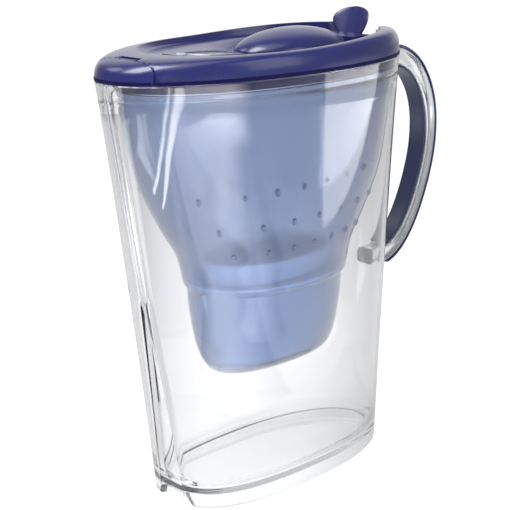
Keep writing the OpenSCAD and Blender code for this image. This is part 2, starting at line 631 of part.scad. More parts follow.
module timer_button() {
    color(white) timer_place() translate([button_dx, 0, -timer_deck - 0.6]) {
        cylinder(r = button_r, h = bezel_h + timer_deck + 1.4, $fn = 40);
        translate([0, 0, -0.9]) cylinder(r = 1.2, h = 1, $fn = 24);
    }
}

jug();
handle_frame();
handle_grip();
handle_spine();
funnel();
cartridge_body();
cartridge_cap();
cartridge_mesh();
cartridge_filling();
cartridge_strainer();
lid_shell();
lid_liner();
filling_flap();
flap_plate();
pour_visor();
timer_case();
timer_board();
timer_cell();
timer_display();
timer_window();
timer_button();
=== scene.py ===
"""Water filter jug with a lift-off lid, dressed for a plain studio.

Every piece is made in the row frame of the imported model: +X from the spout to the handle, +Z up.
Sizes are in millimetres until a mesh is built, and a mesh is in metres.
"""

from __future__ import annotations

import logging
import math
from dataclasses import dataclass, field, replace
from enum import Enum
from typing import Sequence

import bmesh
import bpy
import numpy as np
from mathutils import Matrix, Vector

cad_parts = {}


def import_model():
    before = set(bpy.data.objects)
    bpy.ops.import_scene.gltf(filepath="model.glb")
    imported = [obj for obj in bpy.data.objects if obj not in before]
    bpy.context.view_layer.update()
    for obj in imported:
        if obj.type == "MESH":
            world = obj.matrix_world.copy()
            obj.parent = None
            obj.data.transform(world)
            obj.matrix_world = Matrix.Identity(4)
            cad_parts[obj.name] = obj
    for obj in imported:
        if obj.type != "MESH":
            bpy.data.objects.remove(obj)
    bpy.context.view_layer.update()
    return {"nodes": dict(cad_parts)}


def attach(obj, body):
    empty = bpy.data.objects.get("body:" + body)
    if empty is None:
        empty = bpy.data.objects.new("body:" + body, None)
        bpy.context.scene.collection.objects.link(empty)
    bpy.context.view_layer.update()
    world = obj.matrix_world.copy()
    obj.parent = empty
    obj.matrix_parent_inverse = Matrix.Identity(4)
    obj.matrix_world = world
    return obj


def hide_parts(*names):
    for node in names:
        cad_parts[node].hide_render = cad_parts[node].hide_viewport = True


log = logging.getLogger("jug")

MM = 0.001
WAVE_RADIANS = 20.0  # what a wave texture turns through in one unit
Ring = np.ndarray
Faces = list[tuple[int, ...]]


class Slot(Enum):
    """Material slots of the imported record."""

    CLEAR = "clear_plastic"
    BLUE = "blue_plastic"
    TINTED = "tinted_plastic"
    WHITE = "white_plastic"
    GREY = "grey_plastic"
    CARBON = "carbon_mix"
    SCREEN = "screen_mesh"
    BOARD = "circuit_board"
    CELL = "steel_cell"
    LCD = "lcd_glass"


class Body(Enum):
    """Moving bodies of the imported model."""

    JUG = "jug_body"
    FUNNEL = "funnel_body"
    CARTRIDGE = "cartridge"
    LID = "lid"
    FLAP = "flap"
    VISOR = "visor"
    BUTTON = "button"


# ---- small helpers ----------------------------------------------------------------------------


def mix(a: float, b: float, t: float) -> float:
    """Value between a and b at share t."""
    return a + (b - a) * t


def smooth(t: float) -> float:
    """Smooth step of t between 0 and 1."""
    c = min(1.0, max(0.0, t))
    return c * c * (3 - 2 * c)


def spow(v: np.ndarray | float, p: float) -> np.ndarray:
    """Power that keeps the sign of v."""
    return np.sign(v) * np.abs(v) ** p


def linear(colour: str) -> tuple[float, float, float, float]:
    """Turns an sRGB hex colour into linear light.

    Args:
        colour: "#rrggbb".

    Returns:
        Red, green, blue and an alpha of 1.
    """
    parts = [int(colour[i : i + 2], 16) / 255 for i in (1, 3, 5)]
    r, g, b = (c / 12.92 if c <= 0.04045 else ((c + 0.055) / 1.055) ** 2.4 for c in parts)
    return (r, g, b, 1.0)


def toward(azimuth: float, elevation: float) -> Vector:
    """Direction in which something stands, seen from the jug.

    Args:
        azimuth: Degrees anticlockwise from -Y, seen from above.
        elevation: Degrees over the floor.

    Returns:
        The unit direction.
    """
    az, el = math.radians(azimuth), math.radians(elevation)
    return Vector((math.sin(az) * math.cos(el), -math.cos(az) * math.cos(el), math.sin(el)))


def leaned(points: np.ndarray, degrees: float) -> np.ndarray:
    """Points turned about Y through the origin.

    Args:
        points: Rows of x, y and z.
        degrees: Turn that leans +Z over towards +X.

    Returns:
        The turned rows.
    """
    a = math.radians(degrees)
    turn = np.array([[math.cos(a), 0, math.sin(a)], [0, 1, 0], [-math.sin(a), 0, math.cos(a)]])
    return points @ turn.T


def catmull(rows: np.ndarray, at: float) -> np.ndarray:
    """Point of a Catmull-Rom curve through rows.

    Args:
        rows: One knot a row.
        at: Place along the knots, counted in knots.

    Returns:
        The row at that place, its ends held straight on.
    """
    padded = np.vstack([2 * rows[0] - rows[1], rows, 2 * rows[-1] - rows[-2]])
    i = min(len(rows) - 2, max(0, int(at)))
    t = at - i
    a, b, c, d = padded[i : i + 4]
    return 0.5 * (2 * b + (c - a) * t + (2 * a - 5 * b + 4 * c - d) * t**2 + (3 * b - a - 3 * c + d) * t**3)


# ---- outlines and lofts -----------------------------------------------------------------------


@dataclass(frozen=True)
class Egg:
    """Superellipse whose front and rear halves have their own reach and exponent."""

    front: float
    rear: float
    half: float
    mid: float
    front_ex: float
    rear_ex: float = 2.15

    def inset(self, d: float) -> "Egg":
        """The same egg moved in by d."""
        return replace(self, front=self.front - d, rear=self.rear - d, half=self.half - d)

    def at(self, angle: np.ndarray) -> np.ndarray:
        """Outline points at angles in radians from the rear, anticlockwise.

        Args:
            angle: Angles in radians.

        Returns:
            One row of x and y an angle.
        """
        c, s = np.cos(angle), np.sin(angle)
        ex = np.where(c < 0, self.front_ex, self.rear_ex)
        reach = np.where(c < 0, self.front + self.mid, self.rear - self.mid)
        return np.column_stack([self.mid + reach * spow(c, 2 / ex), self.half * spow(s, 2 / ex)])

    def front_x(self, y: float) -> float:
        """x of the front wall at y."""
        k = max(0.0, 1 - (abs(y) / self.half) ** self.front_ex) ** (1 / self.front_ex)
        return self.mid - (self.front + self.mid) * k

    def rear_x(self, y: float) -> float:
        """x of the rear wall at y."""
        k = max(0.0, 1 - (abs(y) / self.half) ** self.rear_ex) ** (1 / self.rear_ex)
        return self.mid + (self.rear - self.mid) * k

    def ring(self, z: float, steps: int = 176) -> Ring:
        """The outline as a ring of points at height z."""
        p = self.at(np.arange(steps) * 2 * math.pi / steps)
        return np.column_stack([p, np.full(steps, z)])


def loft(
    rings: Sequence[Ring], closed: bool = False, tips: tuple[Ring, Ring] | None = None
) -> tuple[np.ndarray, Faces]:
    """Skins rings that run anticlockwise seen from where the loft goes.

    Args:
        rings: Rings with the same number of points.
        closed: The last ring joins the first, so there are no caps.
        tips: Middle points of the two caps, where they aren't flat.

    Returns:
        Points in mm, and faces whose normals point out.
    """
    n, m = len(rings), len(rings[0])
    points = np.vstack(rings)
    faces: Faces = []
    for r in range(n if closed else n - 1):
        low, high = r * m, ((r + 1) % n) * m
        faces += [(low + i, low + (i + 1) % m, high + (i + 1) % m, high + i) for i in range(m)]
    if not closed:
        ends = tips or (rings[0].mean(0), rings[-1].mean(0))
        points = np.vstack([points, ends[0], ends[1]])
        last = (n - 1) * m
        faces += [(n * m, (i + 1) % m, i) for i in range(m)]
        faces += [(n * m + 1, last + i, last + (i + 1) % m) for i in range(m)]
    return points, faces


def prism(outline: Ring, z0: float, z1: float) -> tuple[np.ndarray, Faces]:
    """Straight prism on an anticlockwise outline of x and y.

    Args:
        outline: Rows of x and y.
        z0: Height of its foot.
        z1: Height of its top.

    Returns:
        Points and faces.
    """
    n = len(outline)
    low = np.column_stack([outline, np.full(n, z0)])
    high = np.column_stack([outline, np.full(n, z1)])
    faces: Faces = [(i, (i + 1) % n, n + (i + 1) % n, n + i) for i in range(n)]
    return np.vstack([low, high]), [*faces, tuple(reversed(range(n))), tuple(range(n, 2 * n))]


def rod(
    x: float, z: float, radius: float, half: float, sides: int = 40, edge: float = 0.2
) -> tuple[np.ndarray, Faces]:
    """Round rod along Y with softened ends.

    Args:
        x: Place of its axis.
        z: Height of its axis.
        radius: Its radius.
        half: Half its length.
        sides: Facets round it.
        edge: Chamfer of its ends.

    Returns:
        Points and faces.
    """
    a = np.arange(sides) * 2 * math.pi / sides
    ends = [(-half, radius - edge), (edge - half, radius), (half - edge, radius), (half, radius - edge)]
    return loft([np.column_stack([x - r * np.cos(a), np.full(sides, y), z + r * np.sin(a)]) for y, r in ends])


def rounded_box(length: float, width: float, radius: float, steps: int = 8) -> Ring:
    """Anticlockwise outline of a rectangle with rounded corners.

    Args:
        length: Its size along X.
        width: Its size along Y.
        radius: Radius of its corners.
        steps: Facets a corner.

    Returns:
        Rows of x and y.
    """
    out = []
    for q, (sx, sy) in enumerate([(1, 1), (-1, 1), (-1, -1), (1, -1)]):
        for k in range(steps + 1):
            a = math.radians(90 * (q + k / steps))
            x = sx * (length / 2 - radius) + radius * math.cos(a)
            y = sy * (width / 2 - radius) + radius * math.sin(a)
            out.append((x, y))
    return np.array(out)


# ---- pieces -----------------------------------------------------------------------------------


def add_object(name: str, data: bpy.types.ID) -> bpy.types.Object:
    """Adds an object to the scene.

    Args:
        name: Its name.
        data: Its mesh, lamp or camera.

    Returns:
        The object, at the origin.
    """
    obj = bpy.data.objects.new(name, data)
    bpy.context.scene.collection.objects.link(obj)
    return obj


def weld(mesh: bpy.types.Mesh, slivers: bool) -> None:
    """Merges the points of a mesh that lie on each other.

    Args:
        mesh: The mesh.
        slivers: Edges and faces without size are taken out too.
    """
    built = bmesh.new()
    built.from_mesh(mesh)
    bmesh.ops.remove_doubles(built, verts=built.verts, dist=1e-6)
    if slivers:
        bmesh.ops.dissolve_degenerate(built, edges=built.edges, dist=1e-7)
    built.to_mesh(mesh)
    built.free()


def mesh_object(name: str, points: np.ndarray, faces: Faces, crease: float = 32.0) -> bpy.types.Object:
    """Makes a smooth object at the origin.

    Args:
        name: Name of the piece.
        points: Points in mm.
        faces: Faces with outward normals.
        crease: Edges sharper than this many degrees stay sharp.

    Returns:
        The object, linked to the scene.
    """
    mesh = bpy.data.meshes.new(name)
    mesh.from_pydata((np.asarray(points) * MM).tolist(), [], faces)
    weld(mesh, slivers=True)
    soften(mesh, crease)
    return add_object(name, mesh)


def soften(mesh: bpy.types.Mesh, crease: float) -> None:
    """Shades a mesh smooth, with edges over crease degrees left sharp.

    Args:
        mesh: The mesh.
        crease: Edges sharper than this many degrees stay sharp.
    """
    mesh.shade_smooth()
    mesh.set_sharp_from_angle(angle=math.radians(crease))
    mesh.update()


def merged(parts: Sequence[tuple[np.ndarray, Faces]]) -> tuple[np.ndarray, Faces]:
    """Several point and face lists as one.

    Args:
        parts: Points and faces of each part.

    Returns:
        Points and faces of all.
    """
    points, faces, base = [], [], 0
    for p, f in parts:
        points.append(p)
        faces += [tuple(i + base for i in face) for face in f]
        base += len(p)
    return np.vstack(points), faces


def applied(obj: bpy.types.Object, crease: float = 32.0) -> bpy.types.Object:
    """Turns an object's modifiers into its plain mesh.

    Args:
        obj: An object with live modifiers.
        crease: Edges sharper than this many degrees stay sharp.

    Returns:
        The same object, with no modifier left.
    """
    graph = bpy.context.evaluated_depsgraph_get()
    mesh = bpy.data.meshes.new_from_object(obj.evaluated_get(graph), depsgraph=graph)
    obj.modifiers.clear()
    obj.data = mesh
    soften(mesh, crease)
    return obj


def carve(obj: bpy.types.Object, cutter: bpy.types.Object) -> None:
    """Cuts a closed shape out of an object, and removes the shape.

    Args:
        obj: The object.
        cutter: The closed shape.
    """
    mod = obj.modifiers.new("cut", "BOOLEAN")
    mod.object, mod.operation, mod.solver = cutter, "DIFFERENCE", "EXACT"
    applied(obj)
    bpy.data.objects.remove(cutter)


def dress(
    obj: bpy.types.Object, finish: bpy.types.Material, body: Body, stands_for: Sequence[str] = ()
) -> bpy.types.Object:
    """Gives a piece its finish and its body.

    Args:
        obj: The finished piece.
        finish: Its material.
        body: The body that it rides on.
        stands_for: CAD nodes that it replaces.

    Returns:
        The same piece.
    """
    obj.data.materials.clear()
    obj.data.materials.append(finish)
    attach(obj, body.value)
    if stands_for:
        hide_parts(*stands_for)
    log.info("%s: %d faces on %s", obj.name, len(obj.data.polygons), body.value)
    return obj


def smooth_copy(node: bpy.types.Object, name: str, crease: float = 30.0) -> bpy.types.Object:
    """A merged and softened copy of a CAD node's mesh, at the same place.

    Args:
        node: The CAD node.
        name: Name of the new piece.
        crease: Edges sharper than this many degrees stay sharp.

    Returns:
        The copy.
    """
    mesh = node.data.copy()
    weld(mesh, slivers=False)
    soften(mesh, crease)
    return add_object(name, mesh)


# ---- finishes ---------------------------------------------------------------------------------


def add_node(
    tree: bpy.types.NodeTree, kind: str, values: dict[str, object] | None = None, **settings: object
) -> bpy.types.Node:
    """Adds a node.

    Args:
        tree: Node tree that it goes in.
        kind: The node's type.
        values: Input values, or output sockets to link them to, by input name or index.
        settings: Properties of the node.

    Returns:
        The node.
    """
    node = tree.nodes.new(kind)
    for key, value in settings.items():
        setattr(node, key, value)
    for key, value in (values or {}).items():
        if isinstance(value, bpy.types.NodeSocket):
            tree.links.new(value, node.inputs[key])
        else:
            node.inputs[key].default_value = value
    return node


def blank_material(name: str) -> tuple[bpy.types.Material, bpy.types.NodeTree, bpy.types.Node]:
    """A new node material with only its output.

    Args:
        name: Name of the material.

    Returns:
        The material, its tree and its output node.
    """
    material = bpy.data.materials.new(name)
    material.use_nodes = True
    tree = material.node_tree
    tree.nodes.clear()
    return material, tree, add_node(tree, "ShaderNodeOutputMaterial")


def per_metre(mm: float) -> float:
    """Texture scale of a pattern whose period is that many millimetres."""
    return 1 / (mm * MM)


def surface_noise(tree: bpy.types.NodeTree, mm: float, detail: float = 2.0) -> bpy.types.NodeSocket:
    """Noise of that period over the object, in its own coordinates.

    Args:
        tree: The material's tree.
        mm: Period of the noise.
        detail: Octaves of finer noise on it.

    Returns:
        The noise, about 0.3 to 0.7.
    """
    place = add_node(tree, "ShaderNodeTexCoord").outputs["Object"]
    return add_node(
        tree, "ShaderNodeTexNoise", {"Vector": place, "Scale": per_metre(mm), "Detail": detail}
    ).outputs["Fac"]


def between(
    tree: bpy.types.NodeTree, fac: bpy.types.NodeSocket, low: float, high: float
) -> bpy.types.NodeSocket:
    """Stretches a noise's usual range, 0.3 to 0.7, to run from low to high.

    Args:
        tree: The material's tree.
        fac: The noise.
        low: Lower end.
        high: Upper end.

    Returns:
        The stretched value.
    """
    return add_node(
        tree,
        "ShaderNodeMapRange",
        {"Value": fac, "From Min": 0.3, "From Max": 0.7, "To Min": low, "To Max": high},
    ).outputs["Result"]


@dataclass(frozen=True)
class ClearPlastic:
    """See-through moulded styrene plastic, polished by its mould.

    It is smooth and bright, and long ways through it turn grey. Lamps shine straight through it.
    """

    name: str
    colour: str = "#fafafb"
    lamps: str = "#f2f4f6"
    depth: str = "#a3a6ab"
    density: float = 10.0
    rough: tuple[float, float] = (0.02, 0.05)
    ior: float = 1.49
    wave_mm: float = 45.0
    wave: float = 0.015
    wave_deep_mm: float = 0.4
    coat: float = 0.0
    coat_rough: float = 0.03

    def build(self) -> bpy.types.Material:
        """The material, with a faint flow wave and hazier patches from the mould.

        Returns:
            The material.
        """
        material, tree, out = blank_material(self.name)
        haze = between(tree, surface_noise(tree, self.wave_mm), *self.rough)
        bump = add_node(
            tree,
            "ShaderNodeBump",
            {
                "Strength": self.wave,
                "Distance": self.wave_deep_mm * MM,
                "Height": surface_noise(tree, self.wave_mm, 1.0),
            },
        )
        body = add_node(
            tree,
            "ShaderNodeBsdfPrincipled",
            {
                "Base Color": linear(self.colour),
                "Roughness": haze,
                "IOR": self.ior,
                "Transmission Weight": 1.0,
                "Coat Weight": self.coat,
                "Coat Roughness": self.coat_rough,
                "Normal": bump.outputs["Normal"],
            },
        )
        path = add_node(tree, "ShaderNodeLightPath").outputs
        lamp = add_node(
            tree, "ShaderNodeMath", {0: path["Is Shadow Ray"], 1: path["Is Diffuse Ray"]}, operation="MAXIMUM"
        ).outputs[0]
        through = add_node(tree, "ShaderNodeBsdfTransparent", {"Color": linear(self.lamps)})
        either = add_node(tree, "ShaderNodeMixShader", {0: lamp, 1: body.outputs[0], 2: through.outputs[0]})
        tree.links.new(either.outputs[0], out.inputs["Surface"])
        if self.density:
            inside = add_node(
                tree, "ShaderNodeVolumeAbsorption", {"Color": linear(self.depth), "Density": self.density}
            )
            tree.links.new(inside.outputs[0], out.inputs["Volume"])
        return material


@dataclass(frozen=True)
class MouldedPlastic:
    """Solid-coloured injection-moulded plastic.

    Its gloss varies a little with the mould, and a fine spark-eroded grain breaks its highlights.
    """

    name: str
    colour: str
    deep: str
    rough: tuple[float, float] = (0.2, 0.3)
    grain_mm: float = 0.8
    grain: float = 0.03
    patch_mm: float = 60.0
    ior: float = 1.5
    grain_deep_mm: float = 0.05
    coat: float = 0.0
    coat_rough: float = 0.08

    def build(self) -> bpy.types.Material:
        """The material, its colour drifting between two near shades.

        Returns:
            The material.
        """
        material, tree, out = blank_material(self.name)
        patch = surface_noise(tree, self.patch_mm)
        colour = add_node(
            tree,
            "ShaderNodeMix",
            {"Factor": patch, "A": linear(self.colour), "B": linear(self.deep)},
            data_type="RGBA",
        )
        bump = add_node(
            tree,
            "ShaderNodeBump",
            {
                "Strength": self.grain,
                "Distance": self.grain_deep_mm * MM,
                "Height": surface_noise(tree, self.grain_mm, 3.0),
            },
        )
        body = add_node(
            tree,
            "ShaderNodeBsdfPrincipled",
            {
                "Base Color": colour.outputs["Result"],
                "Roughness": between(tree, patch, *self.rough),
                "IOR": self.ior,
                "Coat Weight": self.coat,
                "Coat Roughness": self.coat_rough,
                "Normal": bump.outputs["Normal"],
            },
        )
        tree.links.new(body.outputs[0], out.inputs["Surface"])
        return material


@dataclass(frozen=True)
class NylonScreen:
    """Woven nylon screen.

    White threads cross over dark holes, and stand proud enough to catch the light.
    """

    name: str = "woven_nylon_screen"
    thread_mm: float = 2.171
    hole: str = "#3d4248"
    thread: str = "#e9ecee"
    rough: float = 0.55
    relief: float = 0.6
    relief_mm: float = 0.3

    def build(self) -> bpy.types.Material:
        """The material. The real pitch is about a sixth of this, drawn coarser so that it shows.

        Returns:
            The material.
        """
        material, tree, out = blank_material(self.name)
        place = add_node(tree, "ShaderNodeTexCoord").outputs["Object"]
        scale = per_metre(self.thread_mm) * 2 * math.pi / WAVE_RADIANS
        weave = [
            add_node(
                tree,
                "ShaderNodeTexWave",
                {"Vector": place, "Scale": scale, "Distortion": 0.0},
                bands_direction=axis,
            ).outputs["Fac"]
            for axis in ("X", "Y")
        ]
        top = add_node(tree, "ShaderNodeMath", {0: weave[0], 1: weave[1]}, operation="MAXIMUM").outputs[0]
        colour = add_node(
            tree,
            "ShaderNodeMix",
            {"Factor": top, "A": linear(self.hole), "B": linear(self.thread)},
            data_type="RGBA",
        )
        bump = add_node(
            tree,
            "ShaderNodeBump",
            {"Strength": self.relief, "Distance": self.relief_mm * MM, "Height": top},
        )
        body = add_node(
            tree,
            "ShaderNodeBsdfPrincipled",
            {
                "Base Color": colour.outputs["Result"],
                "Roughness": self.rough,
                "Normal": bump.outputs["Normal"],
            },
        )
        tree.links.new(body.outputs[0], out.inputs["Surface"])
        return material


@dataclass(frozen=True)
class Granules:
    """Loose mix of black carbon grains and ion-exchange resin beads.

    It is matt and speckled: more than half black, the rest amber and cream.
    """

    name: str = "carbon_and_resin_granules"
    grain_mm: float = 0.9
    carbon: str = "#17181a"
    resin: str = "#b08a54"
    pale_resin: str = "#d9d4c6"
    resin_from: float = 0.55
    pale_from: float = 0.78
    rough: float = 0.75
    relief: float = 0.8
    relief_mm: float = 0.4

    def build(self) -> bpy.types.Material:
        """The material: each grain has its own colour, and stands proud of the next.

        Returns:
            The material.
        """
        material, tree, out = blank_material(self.name)
        place = add_node(tree, "ShaderNodeTexCoord").outputs["Object"]
        cells = add_node(
            tree,
            "ShaderNodeTexVoronoi",
            {"Vector": place, "Scale": per_metre(self.grain_mm), "Randomness": 1.0},
        )
        kinds = add_node(tree, "ShaderNodeValToRGB", {"Fac": cells.outputs["Color"]})
        ramp = kinds.color_ramp
        ramp.interpolation = "CONSTANT"
        ramp.elements[0].color = linear(self.carbon)
        ramp.elements[1].position, ramp.elements[1].color = self.resin_from, linear(self.resin)
        ramp.elements.new(self.pale_from).color = linear(self.pale_resin)
        bump = add_node(
            tree,
            "ShaderNodeBump",
            {
                "Strength": self.relief,
                "Distance": self.relief_mm * MM,
                "Height": cells.outputs["Distance"],
            },
            invert=True,
        )
        body = add_node(
            tree,
            "ShaderNodeBsdfPrincipled",
            {
                "Base Color": kinds.outputs["Color"],
                "Roughness": self.rough,
                "Normal": bump.outputs["Normal"],
            },
        )
        tree.links.new(body.outputs[0], out.inputs["Surface"])
        return material


@dataclass(frozen=True)
class NickelPlate:
    """Nickel-plated steel can of a button cell, drawn and then brushed.

    Fine scratches blur its warm grey reflections.
    """

    name: str = "nickel_plated_steel"
    colour: str = "#c4c0b6"
    brush_mm: float = 0.3
    rough: tuple[float, float] = (0.22, 0.38)
    relief: float = 0.15
    relief_mm: float = 0.02

    def build(self) -> bpy.types.Material:
        """The material, with fine brushing as roughness and bump.

        Returns:
            The material.
        """
        material, tree, out = blank_material(self.name)
        lines = surface_noise(tree, self.brush_mm, 4.0)
        bump = add_node(
            tree,
            "ShaderNodeBump",
            {"Strength": self.relief, "Distance": self.relief_mm * MM, "Height": lines},
        )
        body = add_node(
            tree,
            "ShaderNodeBsdfPrincipled",
            {
                "Base Color": linear(self.colour),
                "Metallic": 1.0,
                "Roughness": between(tree, lines, *self.rough),
                "Normal": bump.outputs["Normal"],
            },
        )
        tree.links.new(body.outputs[0], out.inputs["Surface"])
        return material


class Finishes:
    """Every finish of the jug, built once."""

    def __init__(self) -> None:
        """Builds the materials."""
        # Clear styrene from a polished mould: sharp reflections, and grey only down its edges.
        self.clear = ClearPlastic("clear_styrene_moulded").build()
        # The same styrene, thicker and from a duller mould: a cool core with blurred streaks.
        self.handle = ClearPlastic(
            "clear_styrene_handle", colour="#eff2f4", depth="#8c9498", density=11.0, rough=(0.12, 0.22)
        ).build()
        # Clear polycarbonate sheet: thin and flat, so it only adds a hard, even shine.
        self.window = ClearPlastic("clear_polycarbonate_window", density=0.0, rough=(0.02, 0.03)).build()
        # Blue-tinted styrene: a milky body under a glossy skin, with slow waves in its highlights.
        self.tint = ClearPlastic(
            "tinted_styrene_moulded",
            colour="#c2cfe8",
            lamps="#e3eaf6",
            depth="#8fa3d4",
            density=17.0,
            rough=(0.16, 0.24),
            wave=0.1,
            coat=1.0,
        ).build()
        # Deep blue polypropylene: smooth, with broad soft highlights.
        self.cobalt = MouldedPlastic(
            "cobalt_polypropylene_moulded", colour="#1a1f54", deep="#161a49", rough=(0.2, 0.28), coat=0.2
        ).build()
        # Blue elastomer: greyer and duller than the lid, with a grain for the fingers.
        self.grip = MouldedPlastic(
            "cobalt_soft_elastomer", colour="#1e2846", deep="#18203a", rough=(0.32, 0.42), grain=0.08
        ).build()
        # Cobalt polypropylene of the underside: dull, and its colour a darker, greyer copy of the lid's, a
        # painted shade so that the underside recedes behind the skirt.
        self.painted_shade_underside = MouldedPlastic(
            "cobalt_polypropylene_painted_shade", colour="#1c1f4a", deep="#17183c", rough=(0.3, 0.4)
        ).build()
        # The lower lip's edge: nearly black, with hardly any shine, a painted shade for the dark shadow line
        # under the lid.
        self.bead = MouldedPlastic(
            "painted_shade_polypropylene_edge", colour="#0b0838", deep="#090630", rough=(0.5, 0.6), ior=1.2
        ).build()
        # White polypropylene: pale and slightly cool, with a satin sheen.
        self.white = MouldedPlastic(
            "white_polypropylene_moulded", colour="#d6dbe4", deep="#ccd2dd", rough=(0.35, 0.45), grain=0.05
        ).build()
        # Soft key: grey-white and matt.
        self.button = MouldedPlastic(
            "grey_white_soft_key", colour="#9aa1b4", deep="#9098ad", rough=(0.45, 0.55), grain=0.08
        ).build()
        # Laminate under solder mask: green, with the weave's grain showing through.
        self.board = MouldedPlastic(
            "solder_masked_laminate",
            colour="#1f5a37",
            deep="#184a2c",
            rough=(0.3, 0.4),
            grain=0.2,
            grain_mm=0.5,
        ).build()
        # Reflective display glass: pale grey, smooth and slightly cloudy.
        self.lcd = MouldedPlastic(
            "reflective_lcd_glass", colour="#dde1e3", deep="#d2d6d9", rough=(0.12, 0.2), patch_mm=12.0
        ).build()
        # Lenses pressed in the tinted wall: their colour is darker than the wall's, a painted shade for each
        # lens's dark side, and each has a bright glint from its glossy coat.
        self.drops = ClearPlastic(
            "drop_lenses_painted_shade",
            colour="#b4c3e8",
            lamps="#ccd7f0",
            density=0.0,
            rough=(0.02, 0.05),
            coat=1.0,
        ).build()
        self.screen = NylonScreen().build()
        self.granules = Granules().build()
        self.nickel = NickelPlate().build()


# ---- jug --------------------------------------------------------------------------------------


@dataclass
class Jug:
    """Clear jug: outer skin with a keel and a bow panel, foot bead, ledge and rounded inside.

    The outline's swell sets how late it widens on its way up. The bow's exponent is its value at the
    rim, what the foot adds, and how fast that fades. The foot bead's rows are height, inset, and how
    far the notch's roof lies under the foot. The rim and the base are front, rear and half width. The
    ledge runs out down the wall, with ledge_left of it left after ledge_run.
    """

    height: float = 245.0
    rim: tuple[float, float, float] = (111.0, 104.0, 52.5)
    base: tuple[float, float, float] = (72.0, 93.0, 38.5)
    rim_mid: float = 4.0
    lip_round: float = 0.6
    lip_inner: float = 0.4
    lip_drop: float = 0.5
    lip_ridge: float = 0.4
    ledge_edge: float = 0.2
    ledge_run: float = 3.0
    ledge_left: float = 0.4
    base_mid: float = 11.0
    swell: tuple[float, float] = (1.12, 1.4)
    bow_ex: tuple[float, float, float] = (2.05, 0.95, 1.5)
    wall: float = 2.2
    foot: float = 8.5
    foot_inset: float = 4.6
    floor: float = 2.4
    corner_z: float = 20.0
    corner_in: float = 6.5
    split: float = 122.0
    ridge: float = 1.1
    keel_half: float = 0.8
    panel_top: float = 2.6
    panel_foot: float = 10.0
    panel_edge: float = 2.6
    panel_crown: float = 0.5
    split_fade: float = 4.0
    notch: tuple[float, float] = (9.0, 13.5)
    ledge_drop: float = 9.0
    ledge: float = 2.0
    foot_bead: tuple[tuple[float, float, float], ...] = (
        (0.6, 4.2, 0.3),
        (0.6, 3.9, 0.35),
        (0.0, 3.8, 0.4),
        (0.0, 1.6, 0.5),
        (0.6, 1.5, 0.55),
        (0.6, 1.2, 0.6),
        (1.8, 0.2, 0.2),
    )
    steps: int = 44

    def egg(self, z: float, inset: float = 0.0) -> Egg:
        """Outline of the jug at height z.

        Args:
            z: Height.
            inset: How far it lies inside the outer skin.

        Returns:
            The outline.
        """
        t = z / self.height
        low, high = self.base, self.rim
        return Egg(
            mix(low[0], high[0], max(t, 0) ** self.swell[0]) - inset,
            mix(low[1], high[1], max(t, 0) ** self.swell[1]) - inset,
            mix(low[2], high[2], t) - inset,
            mix(self.base_mid, self.rim_mid, t),
            self.bow_ex[0] + self.bow_ex[1] * max(0, 1 - t) ** self.bow_ex[2],
        )

    def panel_half(self, z: float) -> float:
        """Half the width of the flat on the bow at height z.

        Args:
            z: Height.

        Returns:
            Half the width in mm.
        """
        over = z - self.split
        if over > self.split_fade:
            return self.keel_half
        if over > 0:
            return mix(self.panel_top, self.keel_half, over / self.split_fade)
        return mix(self.panel_foot, self.panel_top, z / self.split)

    def ring(self, z: float, inset: float = 0.0, ridge: float = 0.0, lift: float = 0.0) -> Ring:
        """One ring of the jug.

        Args:
            z: Height.
            inset: How far it lies inside the outer skin.
            ridge: How far the keel or the panel's edges stand out.
            lift: Height of the notch in the foot, or 0 where there is none.

        Returns:
            The ring, anticlockwise from the rear.
        """
        egg = self.egg(z, inset)
        flat_half = self.notch[0] if lift else self.panel_half(z)
        edge = self.notch[1] if lift else flat_half + self.panel_edge
        last = math.pi - math.asin((edge / egg.half) ** (egg.front_ex / 2))
        quarter = math.pi / 2
        angles = np.concatenate(
            [np.linspace(0, quarter, self.steps + 1), np.linspace(quarter, last, self.steps + 1)[1:]]
        )
        side = egg.at(angles)
        low = max(z, lift)
        middle = egg.front_x(0) - ridge
        if z < self.split:
            middle = egg.front_x(0) + self.panel_crown * (1 if ridge else -1)
        bow = [[egg.front_x(flat_half) - ridge, flat_half, low], [middle, 0.0, low]]
        half = np.vstack([np.column_stack([side, np.full(len(side), z)]), bow])
        other = half[-2:0:-1] * np.array([1, -1, 1])
        return np.vstack([half, other])

    def shell(self) -> tuple[np.ndarray, Faces]:
        """The jug's whole skin, outside and inside.

        Returns:
            Points and faces.
        """
        top, wall = self.height, self.wall
        ledge_z, floor_z = top - self.ledge_drop, self.foot + self.floor
        up = [*np.linspace(4, self.split - 1, 28), *np.linspace(self.split + 3, top - 4, 26)]
        down = [*np.linspace(ledge_z - 8, self.split + 4, 22), *np.linspace(self.split - 2, 26, 18)]
        bend = [
            self.ring(mix(self.corner_z, floor_z, math.sin(t)), wall + self.corner_in * (1 - math.cos(t)))
            for t in np.linspace(0.1, math.pi / 2, 9)
        ]
        rings = [
            self.ring(self.foot, self.foot_inset),
            *[self.ring(z, inset, 0, self.foot - drop) for z, inset, drop in self.foot_bead],
            *[self.ring(z, 0, self.ridge) for z in up],
            self.ring(top - self.lip_round, 0, self.lip_ridge),
            self.ring(top, self.lip_round),
            self.ring(top, wall - self.lip_inner),
            self.ring(top - self.lip_drop, wall),
            self.ring(ledge_z + self.ledge_edge, wall),
            self.ring(ledge_z, wall + self.ledge),
            self.ring(ledge_z - self.ledge_run, wall + self.ledge * self.ledge_left),
            *[self.ring(z, wall) for z in down],
            *bend,
        ]
        return loft(rings)

    def build(self, finishes: Finishes) -> None:
        """Makes the jug.

        Args:
            finishes: The finishes.
        """
        shell = mesh_object("jug_shell", *self.shell(), crease=24)
        dress(shell, finishes.clear, Body.JUG, ["jug"])


# ---- handle -----------------------------------------------------------------------------------


